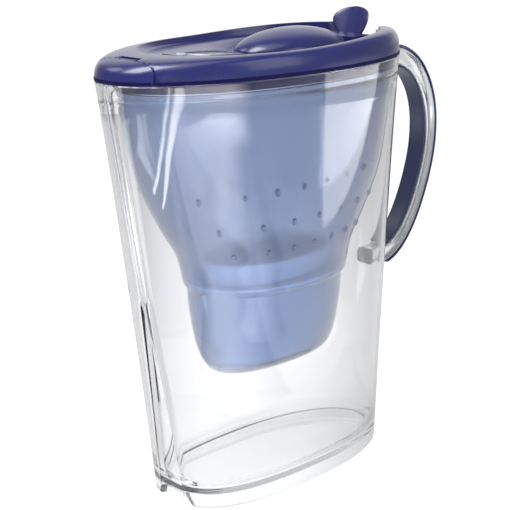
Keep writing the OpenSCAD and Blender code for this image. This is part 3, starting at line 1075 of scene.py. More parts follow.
@dataclass
class Handle:
    """Loop handle: a clear core between a grip strip inside and a spine strip outside.

    The path's rows are how far out of the jug's wall and how far under its rim each knot lies. The
    ends and trims are counted in knots.
    """

    jug: Jug
    half: float = 7.0
    thick: float = 10.4
    strip: float = 1.7
    strip_gap: float = 0.15
    foot_gap: float = 0.2
    squareness: float = 0.45
    ends: float = 1.15
    grip_in: float = 1.0
    grip_trim: tuple[float, float] = (0.9, 0.35)
    spine_in: float = 0.8
    spine_trim: tuple[float, float] = (0.15, 0.1)
    path: tuple[tuple[float, float], ...] = (
        (-5.5, 8),
        (8.4, 5.5),
        (20.5, 7.5),
        (33, 15),
        (42.5, 26.5),
        (48.3, 39),
        (51, 53),
        (50.5, 70),
        (45.8, 89),
        (38.2, 107),
        (29.6, 120),
        (20, 128.5),
        (10.2, 132),
        (0.3, 133),
    )
    rings: int = 130
    sides: int = 48

    def __post_init__(self) -> None:
        """Places the middle line's knots against the jug's wall."""
        knots = []
        for out, drop in self.path:
            z = self.jug.height - drop
            knots.append((self.jug.egg(z).rear_x(0) + out, z))
        self.knots = np.array(knots)

    def at(self, s: float) -> np.ndarray:
        """x and z of the middle line at knot s."""
        return catmull(self.knots, s)

    def out(self, s: float) -> np.ndarray:
        """Direction out of the loop at knot s.

        Args:
            s: Place along the knots.

        Returns:
            x and z of the unit direction.
        """
        near = 0.02
        d = self.at(s + near) - self.at(s - near)
        d /= np.linalg.norm(d)
        return np.array([-d[1], d[0]])

    def bar(
        self, inner: float, outer: float, half: float, start: float, end: float, seated: bool = False
    ) -> tuple[np.ndarray, Faces]:
        """A rounded bar along the handle.

        Args:
            inner: Depth of its inner face, out from the middle line.
            outer: Depth of its outer face.
            half: Half its width.
            start: Knot where it starts.
            end: Knot where it ends.
            seated: Both ends follow the jug's wall.

        Returns:
            Points and faces.
        """
        rings = []
        angles = -np.arange(self.sides) * 2 * math.pi / self.sides
        depth = 0.5 + 0.5 * spow(np.cos(angles), self.squareness)
        y = half * spow(np.sin(angles), self.squareness)
        for k in range(self.rings + 1):
            s = mix(start, end, k / self.rings)
            c, o = self.at(s), self.out(s)
            n = inner + (outer - inner) * depth
            x, z = c[0] + o[0] * n, c[1] + o[1] * n
            if seated and k in (0, self.rings):
                x = np.array([self.jug.egg(zz).rear_x(yy) + self.foot_gap for zz, yy in zip(z, y)])
            rings.append(np.column_stack([x, y, z]))
        tips = None
        if seated:
            tips = tuple(
                np.array([self.jug.egg(z).rear_x(0) + self.foot_gap, 0, z])
                for z in (self.at(start)[1], self.at(end)[1])
            )
        return loft(rings, tips=tips)

    def build(self, finishes: Finishes) -> None:
        """Makes the three bars.

        Args:
            finishes: The finishes.
        """
        mid, first, last = self.thick / 2, self.ends, len(self.path) - 1 - self.ends
        near, far = mid + self.strip_gap, mid + self.strip
        core = self.bar(-mid, mid, self.half, first, last, seated=True)
        start, end = first + self.grip_trim[0], last - self.grip_trim[1]
        grip = self.bar(-far, -near, self.half - self.grip_in, start, end)
        start, end = first + self.spine_trim[0], last - self.spine_trim[1]
        spine = self.bar(near, far, self.half - self.spine_in, start, end)
        dress(mesh_object("handle_core", *core), finishes.handle, Body.JUG, ["handle_frame"])
        dress(mesh_object("handle_grip_strip", *grip), finishes.grip, Body.JUG, ["handle_grip"])
        outside = mesh_object("handle_spine_strip", *spine)
        dress(outside, finishes.cobalt, Body.JUG, ["handle_spine"])


# ---- funnel -----------------------------------------------------------------------------------


@dataclass
class Funnel:
    """Tinted funnel: collar, flare, shoulder, cup and drain, with rows of drops on its sides.

    The flare's rows are the share of its height, and how far the front, the rear and the sides have
    come from the shoulder to the mouth. The cup's rows are height over its foot, front, rear and half
    width. A drop row is its height, and where along X it starts and ends.
    """

    jug: Jug
    wall: float = 1.8
    collar_t: float = 2.4
    cup_depth: float = 177.0
    seat_depth: float = 124.0
    gap: float = 0.3
    spout_gap: float = 9.5
    drop_rows: tuple[tuple[float, float, float], ...] = (
        (183.5, -71, 41),
        (164, -58, 57),
        (148, -47, 46),
    )
    drops: int = 7
    drop_mm: float = 3.2
    drop_out: float = 0.3
    drop_slope: float = 0.045
    drop_bunch: float = 0.92
    mid: float = 4.0
    front_ex: float = 2.2
    ledge_play: float = 0.4
    mouth_in: float = 1.2
    under_seat: float = 1.5
    over_seat: float = 1.0
    under_ledge: float = 4.0
    drain: Egg = Egg(8, 18, 7, 5, 2.2)
    foot_round: float = 12.0
    shoulder: tuple[float, float, float] = (51.0, 60.0, 36.0)
    flare: tuple[tuple[float, tuple[float, float, float]], ...] = (
        (0.0, (0.0, 0.0, 0.0)),
        (0.157, (0.11, 0.117, 0.18)),
        (0.322, (0.376, 0.415, 0.523)),
        (0.53, (0.664, 0.74, 0.83)),
        (0.774, (0.885, 0.908, 0.974)),
        (1.0, (1.0, 1.0, 1.0)),
    )
    cup: tuple[tuple[float, float, float, float], ...] = (
        (0, 26, 36, 12),
        (2, 36, 45, 18),
        (7, 40.5, 51, 24.5),
        (18, 44.5, 53.5, 29.8),
        (36, 47.5, 56, 33),
    )
    cup_top: tuple[float, float, float] = (49, 57.5, 34)
    levels_in: tuple[int, int] = (34, 44)

    def __post_init__(self) -> None:
        """Works out the levels from the jug."""
        ledge_z = self.jug.height - self.jug.ledge_drop
        self.ledge_z, self.collar_z = ledge_z, ledge_z + self.gap
        self.bottom, self.seat = self.jug.height - self.cup_depth, self.jug.height - self.seat_depth
        lip = self.jug.egg(ledge_z, self.jug.wall + self.gap)
        self.collar = replace(lip, front=lip.front - self.spout_gap)
        lap = self.jug.ledge + self.ledge_play
        self.mouth = replace(
            self.collar,
            front=self.collar.front - self.mouth_in,
            rear=self.collar.rear - lap,
            half=self.collar.half - lap,
        )
        wide = (self.mouth.front, self.mouth.rear, self.mouth.half)
        low, high = self.seat + self.over_seat, ledge_z - self.under_ledge
        self.upper = np.array(
            [
                [
                    mix(low, high, t),
                    *[mix(s, w, k) for s, w, k in zip(self.shoulder, wide, ks)],
                ]
                for t, ks in self.flare
            ]
        )
        cup = [[self.bottom + up, *sizes] for up, *sizes in self.cup]
        self.lower = np.array([*cup, [self.seat - self.under_seat, *self.cup_top]])

    def levels(self) -> list[tuple[float, Egg]]:
        """Outside of the funnel from the cup's foot to the mouth, finely stepped.

        Returns:
            Height and outline of each level.
        """
        rows = []
        for knots, count in zip((self.lower, self.upper), self.levels_in):
            rows += [catmull(knots, s) for s in np.linspace(0, len(knots) - 1, count)]
        return [(r[0], Egg(r[1], r[2], r[3], self.mid, self.front_ex)) for r in rows]

    def at_height(self, z: float) -> Egg:
        """Outline of the flare at height z.

        Args:
            z: Height.

        Returns:
            The outline.
        """
        heights = self.upper[:, 0]
        row = catmull(self.upper, float(np.interp(z, heights, np.arange(len(heights)))))
        return Egg(row[1], row[2], row[3], self.mid, self.front_ex)

    def shell(self) -> tuple[np.ndarray, Faces]:
        """The funnel's skin, closed through its drain.

        Returns:
            Points and faces.
        """
        levels = self.levels()
        inside = []
        for z, egg in reversed(levels):
            low = smooth((self.bottom + self.foot_round - z) / self.foot_round)
            inside.append(egg.inset(self.wall).ring(z + self.wall * low))
        mouth = replace(self.mouth, front_ex=self.collar.front_ex)
        rings = [
            self.drain.ring(self.bottom),
            *[egg.ring(z) for z, egg in levels],
            mouth.ring(self.collar_z),
            self.collar.ring(self.collar_z),
            self.collar.ring(self.collar_z + self.collar_t),
            mouth.inset(self.wall).ring(self.collar_z + self.collar_t),
            *inside,
            self.drain.ring(self.bottom + self.wall),
        ]
        return loft(rings, closed=True)

    def drop_points(self) -> list[tuple[np.ndarray, np.ndarray]]:
        """Place and outward direction of each drop, on both sides.

        Returns:
            Point in mm and unit direction of each drop.
        """
        out = []
        for height, start, end in self.drop_rows:
            for k in range(self.drops):
                x = mix(start, end, (k / (self.drops - 1)) ** self.drop_bunch)
                z = height + self.drop_slope * x
                egg = self.at_height(z)
                share = (x - egg.mid) / ((egg.rear - egg.mid) if x > egg.mid else (egg.front + egg.mid))
                ex = egg.rear_ex if x > egg.mid else egg.front_ex
                y = egg.half * max(0.0, 1 - abs(share) ** ex) ** (1 / ex)
                for side in (-1, 1):
                    normal = np.array([0.35 * share, side, -0.25])
                    normal /= np.linalg.norm(normal)
                    out.append((np.array([x, side * y, z]) + self.drop_out * normal, normal))
        return out

    def build(self, finishes: Finishes) -> None:
        """Makes the funnel and its drops.

        Args:
            finishes: The finishes.
        """
        shell = mesh_object("funnel_shell", *self.shell())
        dress(shell, finishes.tint, Body.FUNNEL, ["funnel"])
        # The drops' darker tint is painted shade for the dark side of each lens.
        drops = scatter_drops("funnel_drops", self.drop_points(), self.drop_mm, finishes.drops)
        dress(drops, finishes.drops, Body.FUNNEL)


def scatter_drops(
    name: str,
    places: list[tuple[np.ndarray, np.ndarray]],
    size_mm: float,
    finish: bpy.types.Material,
    flatness: float = 0.8,
    slimness: float = 0.8,
    spread: float = 0.2,
) -> bpy.types.Object:
    """Sets low drop-shaped lenses on a surface with a node tree.

    Args:
        name: Name of the piece.
        places: Point in mm and outward direction of each drop.
        size_mm: Width of a drop.
        finish: Material that the tree sets.
        flatness: Height of a drop over its width.
        slimness: How much narrower than round it is, and it is longer by the same.
        spread: Share by which sizes differ from the width.

    Returns:
        One plain mesh with every drop.
    """
    mesh = bpy.data.meshes.new(name)
    mesh.from_pydata([(p * MM).tolist() for p, _ in places], [], [])
    facing = mesh.attributes.new("facing", "FLOAT_VECTOR", "POINT")
    for i, (_, normal) in enumerate(places):
        facing.data[i].vector = normal.tolist()
    obj = add_object(name, mesh)
    tree = bpy.data.node_groups.new("drops_on_wall", "GeometryNodeTree")
    face = tree.interface
    face.new_socket("Geometry", in_out="INPUT", socket_type="NodeSocketGeometry")
    width = face.new_socket("Drop Width", in_out="INPUT", socket_type="NodeSocketFloat")
    flat = face.new_socket("Flatness", in_out="INPUT", socket_type="NodeSocketFloat")
    face.new_socket("Geometry", in_out="OUTPUT", socket_type="NodeSocketGeometry")
    given, out = add_node(tree, "NodeGroupInput"), add_node(tree, "NodeGroupOutput")
    ball = add_node(tree, "GeometryNodeMeshUVSphere", {"Segments": 16, "Rings": 10, "Radius": 0.5})
    squash = add_node(
        tree,
        "ShaderNodeCombineXYZ",
        {"X": slimness, "Y": 1 / slimness, "Z": given.outputs["Flatness"]},
    )
    drop = add_node(
        tree, "GeometryNodeTransform", {"Geometry": ball.outputs["Mesh"], "Scale": squash.outputs[0]}
    )
    normal = add_node(tree, "GeometryNodeInputNamedAttribute", {"Name": "facing"}, data_type="FLOAT_VECTOR")
    turn = add_node(
        tree, "FunctionNodeAlignRotationToVector", {"Vector": normal.outputs["Attribute"]}, axis="Z"
    )
    vary = add_node(
        tree,
        "FunctionNodeRandomValue",
        {"Min": 1 - spread, "Max": 1 + spread, "Seed": 7},
        data_type="FLOAT",
    )
    size = add_node(
        tree, "ShaderNodeMath", {0: float_out(vary), 1: given.outputs["Drop Width"]}, operation="MULTIPLY"
    )
    placed = add_node(
        tree,
        "GeometryNodeInstanceOnPoints",
        {
            "Points": given.outputs["Geometry"],
            "Instance": drop.outputs["Geometry"],
            "Rotation": turn.outputs["Rotation"],
            "Scale": size.outputs[0],
        },
    )
    real = add_node(tree, "GeometryNodeRealizeInstances", {"Geometry": placed.outputs["Instances"]})
    skin = add_node(
        tree, "GeometryNodeSetMaterial", {"Geometry": real.outputs["Geometry"], "Material": finish}
    )
    tree.links.new(skin.outputs["Geometry"], out.inputs["Geometry"])
    mod = obj.modifiers.new("drops", "NODES")
    mod.node_group = tree
    mod[width.identifier] = size_mm * MM
    mod[flat.identifier] = flatness
    return applied(obj, crease=80)


def float_out(node: bpy.types.Node) -> bpy.types.NodeSocket:
    """The float output of a Random Value node."""
    return next(s for s in node.outputs if s.type == "VALUE" and s.enabled)


# ---- cartridge --------------------------------------------------------------------------------


@dataclass
class Cartridge:
    """Filter cartridge in the funnel's cup."""

    nodes: dict[str, bpy.types.Object]

    def build(self, finishes: Finishes) -> None:
        """Softens the moulded pieces and dresses all five.

        Args:
            finishes: The finishes.
        """
        looks = [
            ("cartridge_body", finishes.white, Slot.WHITE),
            ("cartridge_cap", finishes.white, Slot.WHITE),
            ("cartridge_mesh", finishes.screen, Slot.SCREEN),
            ("cartridge_filling", finishes.granules, Slot.CARBON),
            ("cartridge_strainer", finishes.white, Slot.WHITE),
        ]
        for node, finish, slot in looks:
            piece = smooth_copy(self.nodes[node], node.replace("cartridge", "filter"))
            dress(piece, finish, Body.CARTRIDGE, [node])


# ---- lid --------------------------------------------------------------------------------------


@dataclass
class Lid:
    """Lid shell with its oval basin, thumb-tab pocket and visor seam, and the visor that fills it.

    Fields that end in _in say how far an outline lies inside the jug's rim: front, rear, sides. The
    brim is the share of the basin's depth that it takes, the share of the way in where it ends, and
    the one where the flat floor starts. The hinge slot is half its width and its depth. The ear is
    how far to each side the visor's web and pins reach. The bead's rows are inset and height.
    """

    jug: Jug
    crest_front: float = 12.8
    crest_rear: float = 15.6
    basin_depth: float = 7.6
    wall: float = 1.8
    gap: float = 0.3
    tab_half: float = 15.5
    crest_ex: float = 2.3
    shoulder: float = 3.2
    hinge_slot: tuple[float, float] = (8.6, 4.4)
    pocket_dip: float = 1.3
    brim: tuple[float, float, float] = (0.42, 0.14, 0.9)
    seam_gap: float = 0.6
    visor_wall: float = 1.6
    visor_barrel_r: float = 1.25
    visor_pin_r: float = 0.7
    ear: tuple[float, float] = (5.2, 8.0)
    bead: tuple[tuple[float, float], ...] = (
        (0.5, -0.2),
        (-0.2, -0.1),
        (-0.35, 0.6),
        (-0.3, 1.4),
        (-0.1, 2.0),
        (0.5, 2.1),
    )
    steps: int = 232
    nose_steps: int = 90
    crest_in: tuple[float, float, float] = (32.0, 16.0, 6.0)
    lug_gap: float = 2.1
    lug_t: float = 3.0
    hole_in: tuple[float, float] = (97.0, 20.0)
    hole_side: float = 6.4
    hole_mid: float = 33.0
    hole_ex: tuple[float, float] = (2.2, 4.0)
    pocket_in: float = 4.0
    pocket_up: float = 0.4
    pocket_side: float = 1.4
    seam_in: float = 12.6
    sink: float = 0.05
    bead_end: float = 0.01
    nose_play: float = 0.5
    hinge_back: float = 1.3
    hinge_drop: float = 2.2
    web_front: float = 1.4
    web_t: float = 2.0
    pin_play: float = 0.2

    def __post_init__(self) -> None:
        """Works out the outlines from the jug's rim."""
        front, rear, half = self.jug.rim
        self.z = self.jug.height + self.gap
        self.rim = self.jug.egg(self.jug.height)
        mid, (front_in, rear_in, side_in) = self.jug.rim_mid, self.crest_in
        self.crest = Egg(front - front_in, rear - rear_in, half - side_in, mid, self.crest_ex)
        self.lug_out = self.tab_half + self.lug_gap + self.lug_t
        self.hole_half = self.lug_out + self.hole_side
        self.hole_front = front - self.hole_in[0]
        self.hole = Egg(self.hole_front, rear - self.hole_in[1], self.hole_half, self.hole_mid, *self.hole_ex)
        self.hole_z = self.z + self.crest_front - self.basin_depth
        self.pocket_egg = Egg(front, rear, half, mid, self.crest_ex).inset(self.pocket_in)
        self.pocket_z = self.hole_z + self.pocket_up
        share = (self.tab_half + self.pocket_side) / self.crest.half
        self.pocket_angle = math.degrees(math.asin(share ** (self.crest_ex / 2)))
        self.seam_x = self.seam_in - front

    def pocket(self, angle: np.ndarray) -> np.ndarray:
        """1 in the thumb tab's pocket, 0 elsewhere, by angle.

        Args:
            angle: Angles in radians from the rear.

        Returns:
            The pocket's share at each angle.
        """
        deg = np.degrees(angle) % 360
        near = np.minimum(deg, 360 - deg)
        c = np.clip((near - self.pocket_angle) / 5, 0, 1)
        return 1 - c * c * (3 - 2 * c)

    def crest_xy(self, angle: np.ndarray, inset: float) -> np.ndarray:
        """x and y of the crest line.

        Args:
            angle: Angles in radians from the rear.
            inset: How far it is moved in.

        Returns:
            One row of x and y an angle.
        """
        p = self.pocket(angle)[:, None]
        return self.crest.inset(inset).at(angle) * (1 - p) + self.pocket_egg.inset(inset).at(angle) * p

    def crest_z(self, angle: np.ndarray) -> np.ndarray:
        """Height of the crest line.

        Args:
            angle: Angles in radians from the rear.

        Returns:
            The height at each angle.
        """
        x = np.clip((self.crest.at(angle)[:, 0] + 20) / 100, 0, 1)
        rise = self.crest_front + (self.crest_rear - self.crest_front) * x * x * (3 - 2 * x)
        p = self.pocket(angle)
        return (self.z + rise) * (1 - p) + self.pocket_z * p

    def rise(self, q: float | np.ndarray) -> float | np.ndarray:
        """Share of the side's height at share q of its way in."""
        return (1 - (1 - q) ** self.shoulder) ** (1 / self.shoulder)

    def side(self, angle: np.ndarray, q: float | np.ndarray, t: float) -> Ring:
        """Outside of the lid from the rim at q = 0 to the crest at q = 1, moved in by t.

        Args:
            angle: Angles in radians from the rear.
            q: Share of the way in.
            t: Depth under the outer skin.

        Returns:
            The ring.
        """
        q = np.broadcast_to(q, angle.shape)
        xy = self.rim.inset(t).at(angle) * (1 - q[:, None]) + self.crest_xy(angle, t) * q[:, None]
        z = self.z + (self.crest_z(angle) - self.z - t) * self.rise(q)
        return np.column_stack([xy, z])

    def basin(self, angle: np.ndarray, v: float, t: float) -> Ring:
        """Basin from the crest at v = 0 to the filling hole at v = 1.

        Args:
            angle: Angles in radians from the rear.
            v: Share of the way in.
            t: Depth under the outer skin.

        Returns:
            The ring.
        """
        xy = self.crest_xy(angle, t) * (1 - v) + self.hole.at(angle) * v
        brim, brim_end, floor_start = self.brim
        low = brim * (1 - (1 - min(v / brim_end, 1)) ** 2) + (1 - brim) * min(v / floor_start, 1) ** 4
        z = self.crest_z(angle) * (1 - low) + self.hole_z * low
        return np.column_stack([xy, z - t - self.pocket_dip * smooth(v) * self.pocket(angle)])

    def clip(self, ring: Ring, t: float) -> Ring:
        """Stops a ring at the visor's seam, and further back round its hinge.

        Args:
            ring: The ring.
            t: Depth under the outer skin.

        Returns:
            The stopped ring.
        """
        half, deep = self.hinge_slot
        stop = self.seam_x + t + np.where(np.abs(ring[:, 1]) < half, deep, 0.0)
        out = ring.copy()
        out[:, 0] = np.maximum(out[:, 0], stop)
        return out

    def bead_rings(self, angle: np.ndarray) -> list[Ring]:
        """Lines of the rolled bead on the lower edge, from its foot round its outside.

        Args:
            angle: Angles in radians from the rear.

        Returns:
            The lines.
        """
        return [
            np.column_stack([self.rim.inset(inset).at(angle), np.full(len(angle), self.z + up)])
            for inset, up in self.bead
        ]

    def edge_bead(self) -> tuple[np.ndarray, Faces]:
        """The rolled bead round the lid's lower edge, behind the visor's seam.

        Returns:
            Points and faces.
        """
        angle = np.arange(self.steps) * 2 * math.pi / self.steps
        return loft([self.clip(ring, self.sink) for ring in self.bead_rings(angle)], closed=True)

    def nose_bead(self) -> tuple[np.ndarray, Faces]:
        """The same bead along the visor's lower edge.

        Returns:
            Points and faces.
        """
        half = self.nose_angle() - self.bead_end
        lines = self.bead_rings(math.pi + half * np.linspace(1, -1, self.nose_steps + 1))
        return loft([np.array([line[k] for line in lines]) for k in range(self.nose_steps + 1)])

    def nose_angle(self) -> float:
        """Half the angle that the visor spans on the rim.

        Returns:
            The angle in radians.
        """
        egg = self.rim.inset(self.visor_wall)
        reach = (self.seam_gap - self.seam_x - self.nose_play + egg.mid) / (egg.front + egg.mid)
        return math.asin((1 - reach**egg.front_ex) ** 0.5)

    def shell(self) -> tuple[np.ndarray, Faces]:
        """The lid's shell, closed through the filling hole.

        Returns:
            Points and faces.
        """
        angle = np.arange(self.steps) * 2 * math.pi / self.steps
        qs = 1 - np.cos(np.linspace(0, math.pi / 2, 16))
        _, brim_end, floor_start = self.brim
        steep, gentle = np.linspace(0, brim_end, 9)[1:], np.linspace(brim_end, floor_start, 20)[1:]
        vs = np.concatenate([steep, gentle, [1]])
        rings = [self.clip(self.side(angle, q, 0), 0) for q in qs]
        rings += [self.clip(self.basin(angle, v, 0), 0) for v in vs]
        rings += [self.clip(self.basin(angle, v, self.wall), self.wall) for v in vs[::-1]]
        rings += [self.clip(self.side(angle, q, self.wall), self.wall) for q in qs[::-1]]
        return loft(rings, closed=True)

    def visor(self) -> tuple[np.ndarray, Faces]:
        """The visor: the piece of the lid's nose in front of the seam.

        Returns:
            Points and faces.
        """
        stop = self.seam_x - self.seam_gap
        half_angle = self.nose_angle()
        rings = []
        for k in range(self.nose_steps + 1):
            angle = np.array([math.pi + half_angle * (1 - 2 * k / self.nose_steps)])
            rows = []
            for t, order in ((0.0, 1), (self.visor_wall, -1)):
                r = self.rim.inset(t).at(angle)[0, 0]
                c = self.crest_xy(angle, t)[0, 0]
                top = min(1.0, max(0.0, (stop - r) / (c - r)))
                shares = (1 - np.cos(np.linspace(0, math.pi / 2, 14)))[::order]
                rows.append(np.vstack([self.side(angle, v * top, t) for v in shares]))
            rings.append(np.vstack(rows))
        return loft(rings)

    def visor_hinge(self) -> list[tuple[np.ndarray, Faces]]:
        """Web, barrel and pins of the visor's hinge.

        Returns:
            Points and faces of each part.
        """
        x, z = self.seam_x + self.hinge_back, self.z + self.crest_front - self.hinge_drop
        front, half = self.seam_x - self.seam_gap - self.web_front, self.ear[0] - self.gap
        web = np.array([(front, -half), (x, -half), (x, half), (front, half)])
        low = z - self.visor_barrel_r + self.sink
        return [
            prism(web, low, low + self.web_t),
            rod(x, z, self.visor_barrel_r, half, 32),
            rod(x, z, self.visor_pin_r, self.ear[1] - self.pin_play, 24),
        ]

    def build(self, nodes: dict[str, bpy.types.Object], finishes: Finishes, timer: "Timer") -> None:
        """Makes the shell, the liner and the visor.

        Args:
            nodes: CAD nodes by name.
            finishes: The finishes.
            timer: The timer, whose opening is cut in the shell.
        """
        shell = mesh_object("lid_top", *self.shell(), crease=38)
        carve(shell, timer.cutter())
        dress(shell, finishes.cobalt, Body.LID, ["lid_shell"])
        # The edge bead is dressed nearly black: painted shade for the shadow line along the lid's lower edge.
        dress(mesh_object("lid_edge_bead_painted_shade", *self.edge_bead()), finishes.bead, Body.LID)
        # The underside's colour is painted shade: a darker, greyer copy of the lid's cobalt.
        liner = smooth_copy(nodes["lid_liner"], "lid_underside")
        dress(liner, finishes.painted_shade_underside, Body.LID, ["lid_liner"])
        nose = mesh_object("visor_nose", *merged([self.visor(), *self.visor_hinge()]), crease=38)
        dress(nose, finishes.cobalt, Body.VISOR, ["pour_visor"])
        # The visor's edge bead carries the same painted shade for the shadow line under its lower edge.
        dress(mesh_object("visor_edge_bead_painted_shade", *self.nose_bead()), finishes.bead, Body.VISOR)


# ---- filling flap -----------------------------------------------------------------------------


@dataclass
class Flap:
    """Filling flap: a low dome on a flange, a neck with hinge pins and a thumb tab.

    Rear ends and the hinge's axis are measured in from the jug's rim. The dome's curve is how flat
    its top is and how steep its edge.
    """

    lid: Lid
    dome_h: float = 11.4
    thick: float = 1.7
    barrel_r: float = 2.4
    pin_r: float = 1.5
    tab_lean: float = 22.0
    tab_h: float = 20.4
    tab_t: float = 2.2
    tab_base: float = 5.5
    tab_scoop: float = 4.5
    tab_waist: float = 0.56
    tab_foot: tuple[float, float] = (4.5, 0.5)
    tab_in: float = 1.8
    flange_over: tuple[float, float] = (3.0, 1.0)
    flange_rear: float = 36.0
    flange_mid: float = 27.0
    flange_ex: float = 2.2
    dome_rear: float = 38.0
    dome_side: float = 4.5
    dome_mid: float = 28.0
    dome_ex: float = 2.1
    axis_in: float = 30.0
    axis_up: float = 1.0
    barrel_over: float = 1.8
    pin_play: float = 0.2
    tab_columns: int = 33
    dome_curve: tuple[float, float] = (2.1, 0.62)

    def __post_init__(self) -> None:
        """Works out the outlines from the lid."""
        rear = self.lid.jug.rim[1]
        self.low = self.lid.hole_z + self.lid.gap
        front, half = self.lid.hole_front, self.lid.hole_half
        self.flange = Egg(
            front + self.flange_over[0],
            rear - self.flange_rear,
            half + self.flange_over[1],
            self.flange_mid,
            self.flange_ex,
        )
        self.dome_egg = Egg(
            front, rear - self.dome_rear, half - self.dome_side, self.dome_mid, self.dome_ex
        )
        self.axis = (rear - self.axis_in, self.lid.hole_z + self.axis_up)

    def dome_ring(self, f: float, t: float) -> Ring:
        """Ring of the dome at share f of its outline, moved in by t.

        Args:
            f: Share of the outline.
            t: Depth under the outer skin, or 0 on it.

        Returns:
            The ring.
        """
        e = self.dome_egg.inset(t)
        egg = Egg(e.mid * (f - 1) + e.front * f, e.mid + (e.rear - e.mid) * f, e.half * f, e.mid, e.front_ex)
        flat_top, steep_edge = self.dome_curve
        high = self.low + self.thick + (self.dome_h - t) * max(0.0, 1 - f**flat_top) ** steep_edge
        return egg.ring(high - (self.thick - 0.6 if t > 0 else 0))

    def dome(self) -> tuple[np.ndarray, Faces]:
        """The dome and its flange.

        Returns:
            Points and faces.
        """
        fs = np.sin(np.linspace(0.04, 1, 26) * math.pi / 2)
        rings = [self.dome_ring(f, self.thick) for f in fs]
        rings += [self.dome_egg.inset(self.thick).ring(self.low), self.flange.ring(self.low)]
        rings += [self.flange.ring(self.low + self.thick * 0.6)]
        rings += [self.flange.inset(0.3).ring(self.low + self.thick)]
        rings += [self.dome_ring(f, 0) for f in fs[::-1]]
        return loft(rings)

    def neck(self) -> tuple[np.ndarray, Faces]:
        """The bar between the dome and the thumb tab, over the hinge.

        Returns:
            Points and faces.
        """
        x, z = self.axis
        start = self.dome_egg.rear - 3.6
        side = [
            (start, self.low),
            (x - 1.5, self.low - 0.2),
            (x + 4, z - 2.2),
            (x + 6, z - 0.4),
            (x + 6.5, z + 1),
            (x + 5.8, z + 3.4),
            (x + 4.5, z + 4.6),
            (x + 2, z + 5),
            (start, z + 4.5),
        ]
        half = self.lid.tab_half
        middle = np.mean(side, axis=0)
        rows = []
        for y, shrink in ((half, 0.5), (half - 0.5, 0.0), (-half + 0.5, 0.0), (-half, 0.5)):
            ring = [(p - middle) * (1 - shrink / 6) + middle for p in np.array(side)]
            rows.append(np.array([[p[0], y, p[1]] for p in ring]))
        return loft(rows)

    def tab(self) -> tuple[np.ndarray, Faces]:
        """The thumb tab: a scoop, hollow towards the dome.

        Returns:
            Points and faces.
        """
        wide, share = self.lid.tab_half - self.tab_in, self.tab_waist
        across = np.linspace(-1, 1, self.tab_columns)
        crown = share + (1 - share) * np.sin(np.linspace(0.1, 1.55, 16))
        rings = []
        for h in np.concatenate([[-0.02], np.linspace(0.05, share, 14), crown]):
            if h < share:
                reach = mix(self.tab_base, wide, math.sin(math.pi / 2 * h / share))
            else:
                reach = wide * math.sqrt(max(0.004, 1 - ((h - share) / (1 - share)) ** 2))
            y = across * reach
            bow = -self.tab_scoop * (y / wide) ** 2
            round_off = self.tab_t / 2 * (1 - across**10) ** 0.5
            up = np.full(self.tab_columns, h * self.tab_h)
            front = np.column_stack([bow - round_off, y, up])[::-1]
            rear = np.column_stack([bow + round_off, y, up])[1:-1]
            rings.append(np.vstack([front, rear]))
        points, faces = loft(rings)
        foot = np.array([self.axis[0] + self.tab_foot[0], 0, self.axis[1] + self.tab_foot[1]])
        return leaned(points, self.tab_lean) + foot, faces

    def build(self, nodes: dict[str, bpy.types.Object], finishes: Finishes) -> None:
        """Makes the flap and its inner plate.

        Args:
            nodes: CAD nodes by name.
            finishes: The finishes.
        """
        x, z = self.axis
        barrel = rod(x, z, self.barrel_r, self.lid.tab_half + self.barrel_over)
        pins = rod(x, z, self.pin_r, self.lid.lug_out - self.pin_play)
        parts = [self.dome(), self.neck(), self.tab(), barrel, pins]
        flap = mesh_object("flap_dome", *merged(parts), crease=40)
        dress(flap, finishes.cobalt, Body.FLAP, ["filling_flap"])
        plate = smooth_copy(nodes["flap_plate"], "flap_inner_plate")
        dress(plate, finishes.cobalt, Body.FLAP, ["flap_plate"])


# ---- filter timer -----------------------------------------------------------------------------


@dataclass
class Timer:
    """Filter timer set in the basin: case, window, display, board, cell and button."""

    lid: Lid
    length: float = 44.0
    width: float = 24.0
    radius: float = 5.0
    tilt: float = 3.0
    from_hole: float = 7.0
    under_crest: float = 4.0
    cut: tuple[float, float] = (-12.0, 8.0)

    def __post_init__(self) -> None:
        """Works out its place from the lid."""
        self.x = -self.lid.hole_front - self.from_hole - self.length / 2
        self.z = self.lid.z + self.lid.crest_front - self.under_crest

    def place(self, points: np.ndarray) -> np.ndarray:
        """Points in the timer's own frame, put in the lid.

        Args:
            points: Points in the timer's frame.

        Returns:
            The same points in the row frame.
        """
        return leaned(points, self.tilt) + np.array([self.x, 0, self.z])

    def cutter(self) -> bpy.types.Object:
        """The block that cuts the timer's opening in the lid's shell.

        Returns:
            The block.
        """
        gap = 2 * self.lid.gap
        outline = rounded_box(self.length + gap, self.width + gap, self.radius + self.lid.gap)
        points, faces = prism(outline, *self.cut)
        return mesh_object("timer_cutter", self.place(points), faces)

    def build(self, nodes: dict[str, bpy.types.Object], finishes: Finishes) -> None:
        """Dresses the timer's pieces.

        Args:
            nodes: CAD nodes by name.
            finishes: The finishes.
        """
        looks = [
            ("timer_case", finishes.cobalt, Slot.BLUE, Body.LID),
            ("timer_board", finishes.board, Slot.BOARD, Body.LID),
            ("timer_cell", finishes.nickel, Slot.CELL, Body.LID),
            ("timer_display", finishes.lcd, Slot.LCD, Body.LID),
            ("timer_window", finishes.window, Slot.CLEAR, Body.LID),
            ("timer_button", finishes.button, Slot.WHITE, Body.BUTTON),
        ]
        for node, finish, slot, body in looks:
            dress(smooth_copy(nodes[node], node.replace("timer", "clock")), finish, body, [node])


# ---- studio -----------------------------------------------------------------------------------


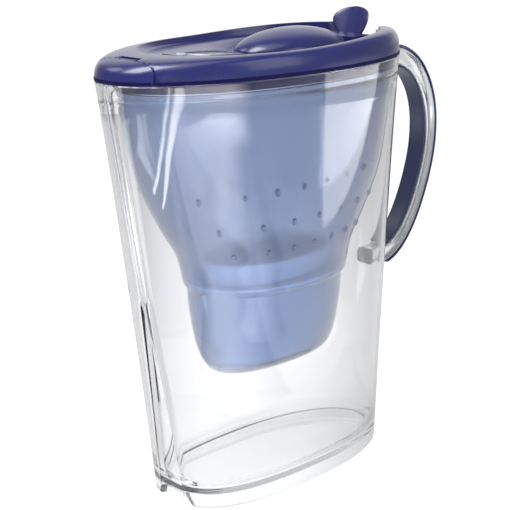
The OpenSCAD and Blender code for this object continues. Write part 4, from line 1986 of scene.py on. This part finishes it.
@dataclass(frozen=True)
class SoftBox:
    """One large soft lamp that faces the jug's middle.

    Its angles are in degrees, its distance and size in metres and its power in watts.
    """

    name: str
    azimuth: float
    elevation: float
    distance: float
    size: tuple[float, float]
    power: float
    shines: bool = True

    def build(self, aim: Vector) -> None:
        """Makes the lamp.

        Args:
            aim: Point in metres that it faces.
        """
        lamp = bpy.data.lights.new(self.name, "AREA")
        lamp.shape, lamp.size, lamp.size_y, lamp.energy = "RECTANGLE", *self.size, self.power
        obj = add_object(self.name, lamp)
        away = toward(self.azimuth, self.elevation)
        spot = aim + away * self.distance
        obj.matrix_world = Matrix.Translation(spot) @ away.to_track_quat("Z", "Y").to_matrix().to_4x4()
        obj.visible_transmission = False
        obj.visible_glossy = self.shines


Chain = tuple[tuple[float, float], ...]


@dataclass(frozen=True)
class Card:
    """A bright card on the floor that only shows in gloss and through glass, as a window would.

    Its chains are edges side by side in metres, and its shares are the light's share on each. The
    far gain brightens it from far_start metres out, fully after far_fade more.
    """

    name: str
    level: float
    chains: tuple[Chain, ...]
    shares: tuple[float, ...] = (1.0, 1.0)
    through: bool = True
    far_gain: float = 0.0
    far_start: float = 0.55
    far_fade: float = 0.4
    over_floor: float = 0.0005

    def build(self) -> None:
        """Lays the card just over the floor."""
        mesh = bpy.data.meshes.new(self.name)
        m = len(self.chains[0])
        points = [(x, y, self.over_floor) for chain in self.chains for x, y in chain]
        faces = [
            (c * m + i, (c + 1) * m + i, (c + 1) * m + i + 1, c * m + i + 1)
            for c in range(len(self.chains) - 1)
            for i in range(m - 1)
        ]
        mesh.from_pydata(points, [], faces)
        light_at = mesh.attributes.new("light_at", "FLOAT", "POINT")
        for i, (x, y, _) in enumerate(points):
            far = smooth((math.hypot(x, y) - self.far_start) / self.far_fade)
            light_at.data[i].value = self.level * self.shares[i // m] * (1 + self.far_gain * far)
        obj = add_object(self.name, mesh)
        material, tree, out = blank_material(self.name)
        level = add_node(tree, "ShaderNodeAttribute", attribute_name="light_at").outputs["Fac"]
        light = add_node(tree, "ShaderNodeEmission", {"Color": linear("#ffffff"), "Strength": level})
        tree.links.new(light.outputs[0], out.inputs["Surface"])
        mesh.materials.append(material)
        obj.visible_camera = obj.visible_diffuse = obj.visible_shadow = False
        obj.visible_transmission = self.through


@dataclass
class Studio:
    """Camera, pale floor, even surround and soft lamps.

    Light levels are shares of white. Each fade is where a level turns dark and where it is full: the
    surround's by the cosine off the line of sight and off the bright sky, the floor's by the slant off
    the line of sight. The floor's narrow band is shifted by aside, and its slants are measured from
    stand_off metres before the jug.
    """

    azimuth: float = -45.6624
    elevation: float = 15.2911
    roll: float = -0.3306
    distance_mm: float = 828.42
    target_mm: tuple[float, float, float] = (4.518, 0.0, 131.867)
    focal_px: float = 1405.2
    frame_px: float = 531.0
    sensor_mm: float = 36.0
    sees: tuple[float, float] = (0.01, 50.0)
    pale: str = "#ffffff"
    ambient: float = 0.4
    sides: float = 0.3
    beside: float = 0.52
    middle_fade: tuple[float, float] = (0.62, 0.92)
    sky_fade: tuple[float, float] = (0.82, 0.96)
    floor_fade: tuple[float, float] = (0.8, 0.3)
    band_fade: tuple[float, float] = (0.11, 0.025)
    aside: float = 0.012
    stand_off: float = 0.9
    least_reach: float = 0.01
    floor_half: float = 6.0
    paper: str = "#f4f5f6"
    paper_glow: float = 1.15
    paper_share: float = 0.8
    sky_elevation: float = 27.0
    boxes: tuple[SoftBox, ...] = field(
        default_factory=lambda: (
            SoftBox("key_box", -92, 66, 1.3, (0.6, 1.0), 19.0),
            SoftBox("fill_box", 25, 25, 1.6, (0.6, 1.2), 4.0),
            SoftBox("top_box", -60, 80, 1.4, (1.2, 1.2), 6.0),
            SoftBox("nose_box", -150, 48, 1.4, (0.6, 0.45), 2.6),
            SoftBox("side_box", -38, 10, 1.3, (0.3, 0.9), 15.0, shines=False),
        )
    )
    cards: tuple[Card, ...] = (
        Card("right_panel", 2.6, (((0.35, -0.355), (1.7, -1.7)), ((0.37, -0.355), (1.7, -0.33)))),
        Card("left_panel", 3.0, (((-1.2, 0.13), (-1.2, 0.33)), ((-0.23, 0.13), (-0.26, 0.33)))),
        Card(
            "far_left_panel",
            2.8,
            (((-1.2, 0.33), (-1.2, 1.2)), ((-0.26, 0.33), (-0.3, 0.6))),
            through=False,
        ),
        Card(
            "window_bar",
            14.0,
            (
                ((-0.41, -0.6), (-0.455, -0.46), (-0.465, -0.3), (-0.455, -0.12)),
                ((-0.4, -0.6), (-0.442, -0.46), (-0.45, -0.3), (-0.445, -0.12)),
            ),
            through=False,
        ),
        Card(
            "window_pane",
            14.0,
            (
                ((-0.36, -0.66), (-0.41, -0.51), (-0.43, -0.36), (-0.41, -0.18)),
                ((-0.29, -0.69), (-0.36, -0.57), (-0.4, -0.41), (-0.405, -0.19)),
            ),
            through=False,
        ),
        Card(
            "front_panel",
            1.7,
            (
                ((-0.3, -1.6), (-0.29, -0.69), (-0.36, -0.57), (-0.38, -0.43), (-0.2, -0.34)),
                ((0.12, -1.6), (0.07, -0.85), (-0.03, -0.7), (-0.05, -0.5), (-0.06, -0.34)),
                ((0.4, -1.6), (0.24, -0.85), (0.13, -0.7), (0.1, -0.5), (0.09, -0.34)),
            ),
            (1.0, 0.95, 0.0),
            far_gain=1.3,
        ),
        Card(
            "near_panel",
            2.6,
            (
                ((-0.18, -0.34), (-0.17, -0.14)),
                ((-0.12, -0.34), (-0.11, -0.14)),
                ((-0.06, -0.34), (-0.05, -0.14)),
                ((0.07, -0.34), (0.07, -0.14)),
            ),
            (0.0, 1.0, 1.0, 0.0),
        ),
    )

    def camera(self) -> None:
        """Makes the camera."""
        roll = math.radians(self.roll)
        back = toward(self.azimuth, self.elevation)
        right = self.axes()[1]
        up = back.cross(right)
        across = right * math.cos(roll) + up * math.sin(roll)
        above = up * math.cos(roll) - right * math.sin(roll)
        turn = Matrix((across, above, back)).transposed().to_4x4()
        data = bpy.data.cameras.new("studio_camera")
        data.sensor_width = self.sensor_mm
        data.lens = self.sensor_mm * self.focal_px / self.frame_px
        data.clip_start, data.clip_end = self.sees
        obj = add_object("studio_camera", data)
        obj.matrix_world = Matrix.Translation((Vector(self.target_mm) + back * self.distance_mm) * MM) @ turn
        bpy.context.scene.camera = obj

    def axes(self) -> tuple[Vector, Vector]:
        """Line of sight and the direction to its right.

        Returns:
            Two unit directions.
        """
        az = math.radians(self.azimuth)
        return -toward(self.azimuth, self.elevation), Vector((math.cos(az), math.sin(az), 0))

    def shown(self, tree: bpy.types.NodeTree) -> tuple[bpy.types.NodeSocket, bpy.types.NodeSocket]:
        """1 for camera rays, and 1 for rays from gloss and through glass.

        Args:
            tree: The tree.

        Returns:
            The two values.
        """
        path = add_node(tree, "ShaderNodeLightPath").outputs
        either = add_node(
            tree,
            "ShaderNodeMath",
            {0: path["Is Glossy Ray"], 1: path["Is Transmission Ray"]},
            operation="MAXIMUM",
        )
        return path["Is Camera Ray"], either.outputs[0]

    def stepped(
        self, tree: bpy.types.NodeTree, value: bpy.types.NodeSocket, dark: float, bright: float
    ) -> bpy.types.NodeSocket:
        """The surround's level, from its dark sides to its white middle.

        Args:
            tree: The tree.
            value: What it follows.
            dark: Value at the dark end.
            bright: Value at the white end.

        Returns:
            The level.
        """
        return add_node(
            tree,
            "ShaderNodeMapRange",
            {"Value": value, "From Min": dark, "From Max": bright, "To Min": self.sides, "To Max": 1.0},
            interpolation_type="SMOOTHSTEP",
        ).outputs["Result"]

    def chosen(
        self, tree: bpy.types.NodeTree, fac: bpy.types.NodeSocket, off: object, on: object
    ) -> bpy.types.NodeSocket:
        """The value off or on, by a factor of 0 or 1.

        Args:
            tree: The tree.
            fac: The factor.
            off: Value at 0.
            on: Value at 1.

        Returns:
            The chosen value.
        """
        return add_node(tree, "ShaderNodeMix", {0: fac, 2: off, 3: on}).outputs[0]

    def surround(self) -> None:
        """A bright-field surround: white behind the jug and darker at its sides, to draw clear edges."""
        world = bpy.data.worlds.new("bright_field_surround")
        bpy.context.scene.world = world
        world.use_nodes = True
        tree = world.node_tree
        tree.nodes.clear()
        sight, _ = self.axes()
        way = add_node(tree, "ShaderNodeTexCoord").outputs["Generated"]
        along = add_node(tree, "ShaderNodeVectorMath", {0: way, 1: sight}, operation="DOT_PRODUCT")
        middle = self.stepped(tree, along.outputs["Value"], *self.middle_fade)
        tilt = math.radians(self.sky_elevation)
        sky = Vector((sight.x, sight.y, 0)).normalized() * math.cos(tilt) + Vector((0, 0, math.sin(tilt)))
        over = add_node(tree, "ShaderNodeVectorMath", {0: way, 1: sky}, operation="DOT_PRODUCT")
        above = self.stepped(tree, over.outputs["Value"], *self.sky_fade)
        field_level = add_node(tree, "ShaderNodeMath", {0: middle, 1: above}, operation="MAXIMUM").outputs[0]
        camera, other = self.shown(tree)
        level = self.chosen(tree, camera, self.chosen(tree, other, self.ambient, field_level), 1.0)
        light = add_node(tree, "ShaderNodeBackground", {"Color": linear(self.pale), "Strength": level})
        out = add_node(tree, "ShaderNodeOutputWorld")
        tree.links.new(light.outputs[0], out.inputs["Surface"])

    def floor(self) -> None:
        """A pale floor that keeps a soft shadow, bright under the line of sight."""
        mesh = bpy.data.meshes.new("studio_floor")
        h = self.floor_half
        mesh.from_pydata([(-h, -h, 0), (h, -h, 0), (h, h, 0), (-h, h, 0)], [], [(0, 1, 2, 3)])
        obj = add_object("studio_floor", mesh)
        material, tree, out = blank_material("pale_paper_floor")
        sight, right = self.axes()
        ahead = Vector((sight.x, sight.y, 0)).normalized()
        place = add_node(tree, "ShaderNodeTexCoord").outputs["Object"]
        across = add_node(tree, "ShaderNodeVectorMath", {0: place, 1: right}, operation="DOT_PRODUCT")
        along = add_node(tree, "ShaderNodeVectorMath", {0: place, 1: ahead}, operation="DOT_PRODUCT")
        aside = add_node(tree, "ShaderNodeMath", {0: across.outputs["Value"]}, operation="ABSOLUTE")
        reach = add_node(
            tree, "ShaderNodeMath", {0: along.outputs["Value"], 1: self.stand_off}, operation="ADD"
        )
        near = add_node(
            tree, "ShaderNodeMath", {0: reach.outputs[0], 1: self.least_reach}, operation="MAXIMUM"
        )
        slant = add_node(
            tree, "ShaderNodeMath", {0: aside.outputs[0], 1: near.outputs[0]}, operation="DIVIDE"
        )
        broad = self.stepped(tree, slant.outputs[0], *self.floor_fade)
        signed = add_node(
            tree, "ShaderNodeMath", {0: across.outputs["Value"], 1: near.outputs[0]}, operation="DIVIDE"
        )
        shifted = add_node(tree, "ShaderNodeMath", {0: signed.outputs[0], 1: self.aside}, operation="ADD")
        off_axis = add_node(tree, "ShaderNodeMath", {0: shifted.outputs[0]}, operation="ABSOLUTE")
        narrow = add_node(
            tree,
            "ShaderNodeMapRange",
            {
                "Value": off_axis.outputs[0],
                "From Min": self.band_fade[0],
                "From Max": self.band_fade[1],
                "To Min": self.beside,
                "To Max": 1.0,
            },
            interpolation_type="SMOOTHSTEP",
        )
        field_level = add_node(
            tree, "ShaderNodeMath", {0: broad, 1: narrow.outputs["Result"]}, operation="MULTIPLY"
        ).outputs[0]
        camera, other = self.shown(tree)
        level = self.chosen(tree, camera, field_level, 1.0)
        bright = add_node(tree, "ShaderNodeMath", {0: level, 1: self.paper_glow}, operation="MULTIPLY")
        paper = add_node(tree, "ShaderNodeBsdfDiffuse", {"Color": linear(self.paper)})
        white = add_node(
            tree, "ShaderNodeEmission", {"Color": linear(self.pale), "Strength": bright.outputs[0]}
        )
        either = add_node(tree, "ShaderNodeMath", {0: camera, 1: other}, operation="MAXIMUM")
        share = add_node(
            tree, "ShaderNodeMath", {0: either.outputs[0], 1: self.paper_share}, operation="MULTIPLY"
        )
        both = add_node(
            tree, "ShaderNodeMixShader", {0: share.outputs[0], 1: paper.outputs[0], 2: white.outputs[0]}
        )
        tree.links.new(both.outputs[0], out.inputs["Surface"])
        mesh.materials.append(material)

    def build(self) -> None:
        """Sets the studio up."""
        scene = bpy.context.scene
        scene.view_settings.view_transform = "Standard"
        scene.cycles.max_bounces = 24
        scene.cycles.transmission_bounces = 24
        scene.cycles.glossy_bounces = 20
        scene.cycles.transparent_max_bounces = 32
        scene.cycles.caustics_reflective = False
        scene.cycles.caustics_refractive = False
        self.camera()
        self.surround()
        self.floor()
        for box in self.boxes:
            box.build(Vector(self.target_mm) * MM)
        for card in self.cards:
            card.build()


def main() -> None:
    """Loads the frame and builds the jug round it."""
    logging.basicConfig(level=logging.INFO, format="%(name)s %(message)s")
    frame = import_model()
    nodes = frame["nodes"]
    Studio().build()
    finishes = Finishes()
    jug = Jug()
    lid = Lid(jug)
    timer = Timer(lid)
    jug.build(finishes)
    Handle(jug).build(finishes)
    Funnel(jug).build(finishes)
    Cartridge(nodes).build(finishes)
    lid.build(nodes, finishes, timer)
    Flap(lid).build(nodes, finishes)
    timer.build(nodes, finishes)


if __name__ == "__main__":
    main()
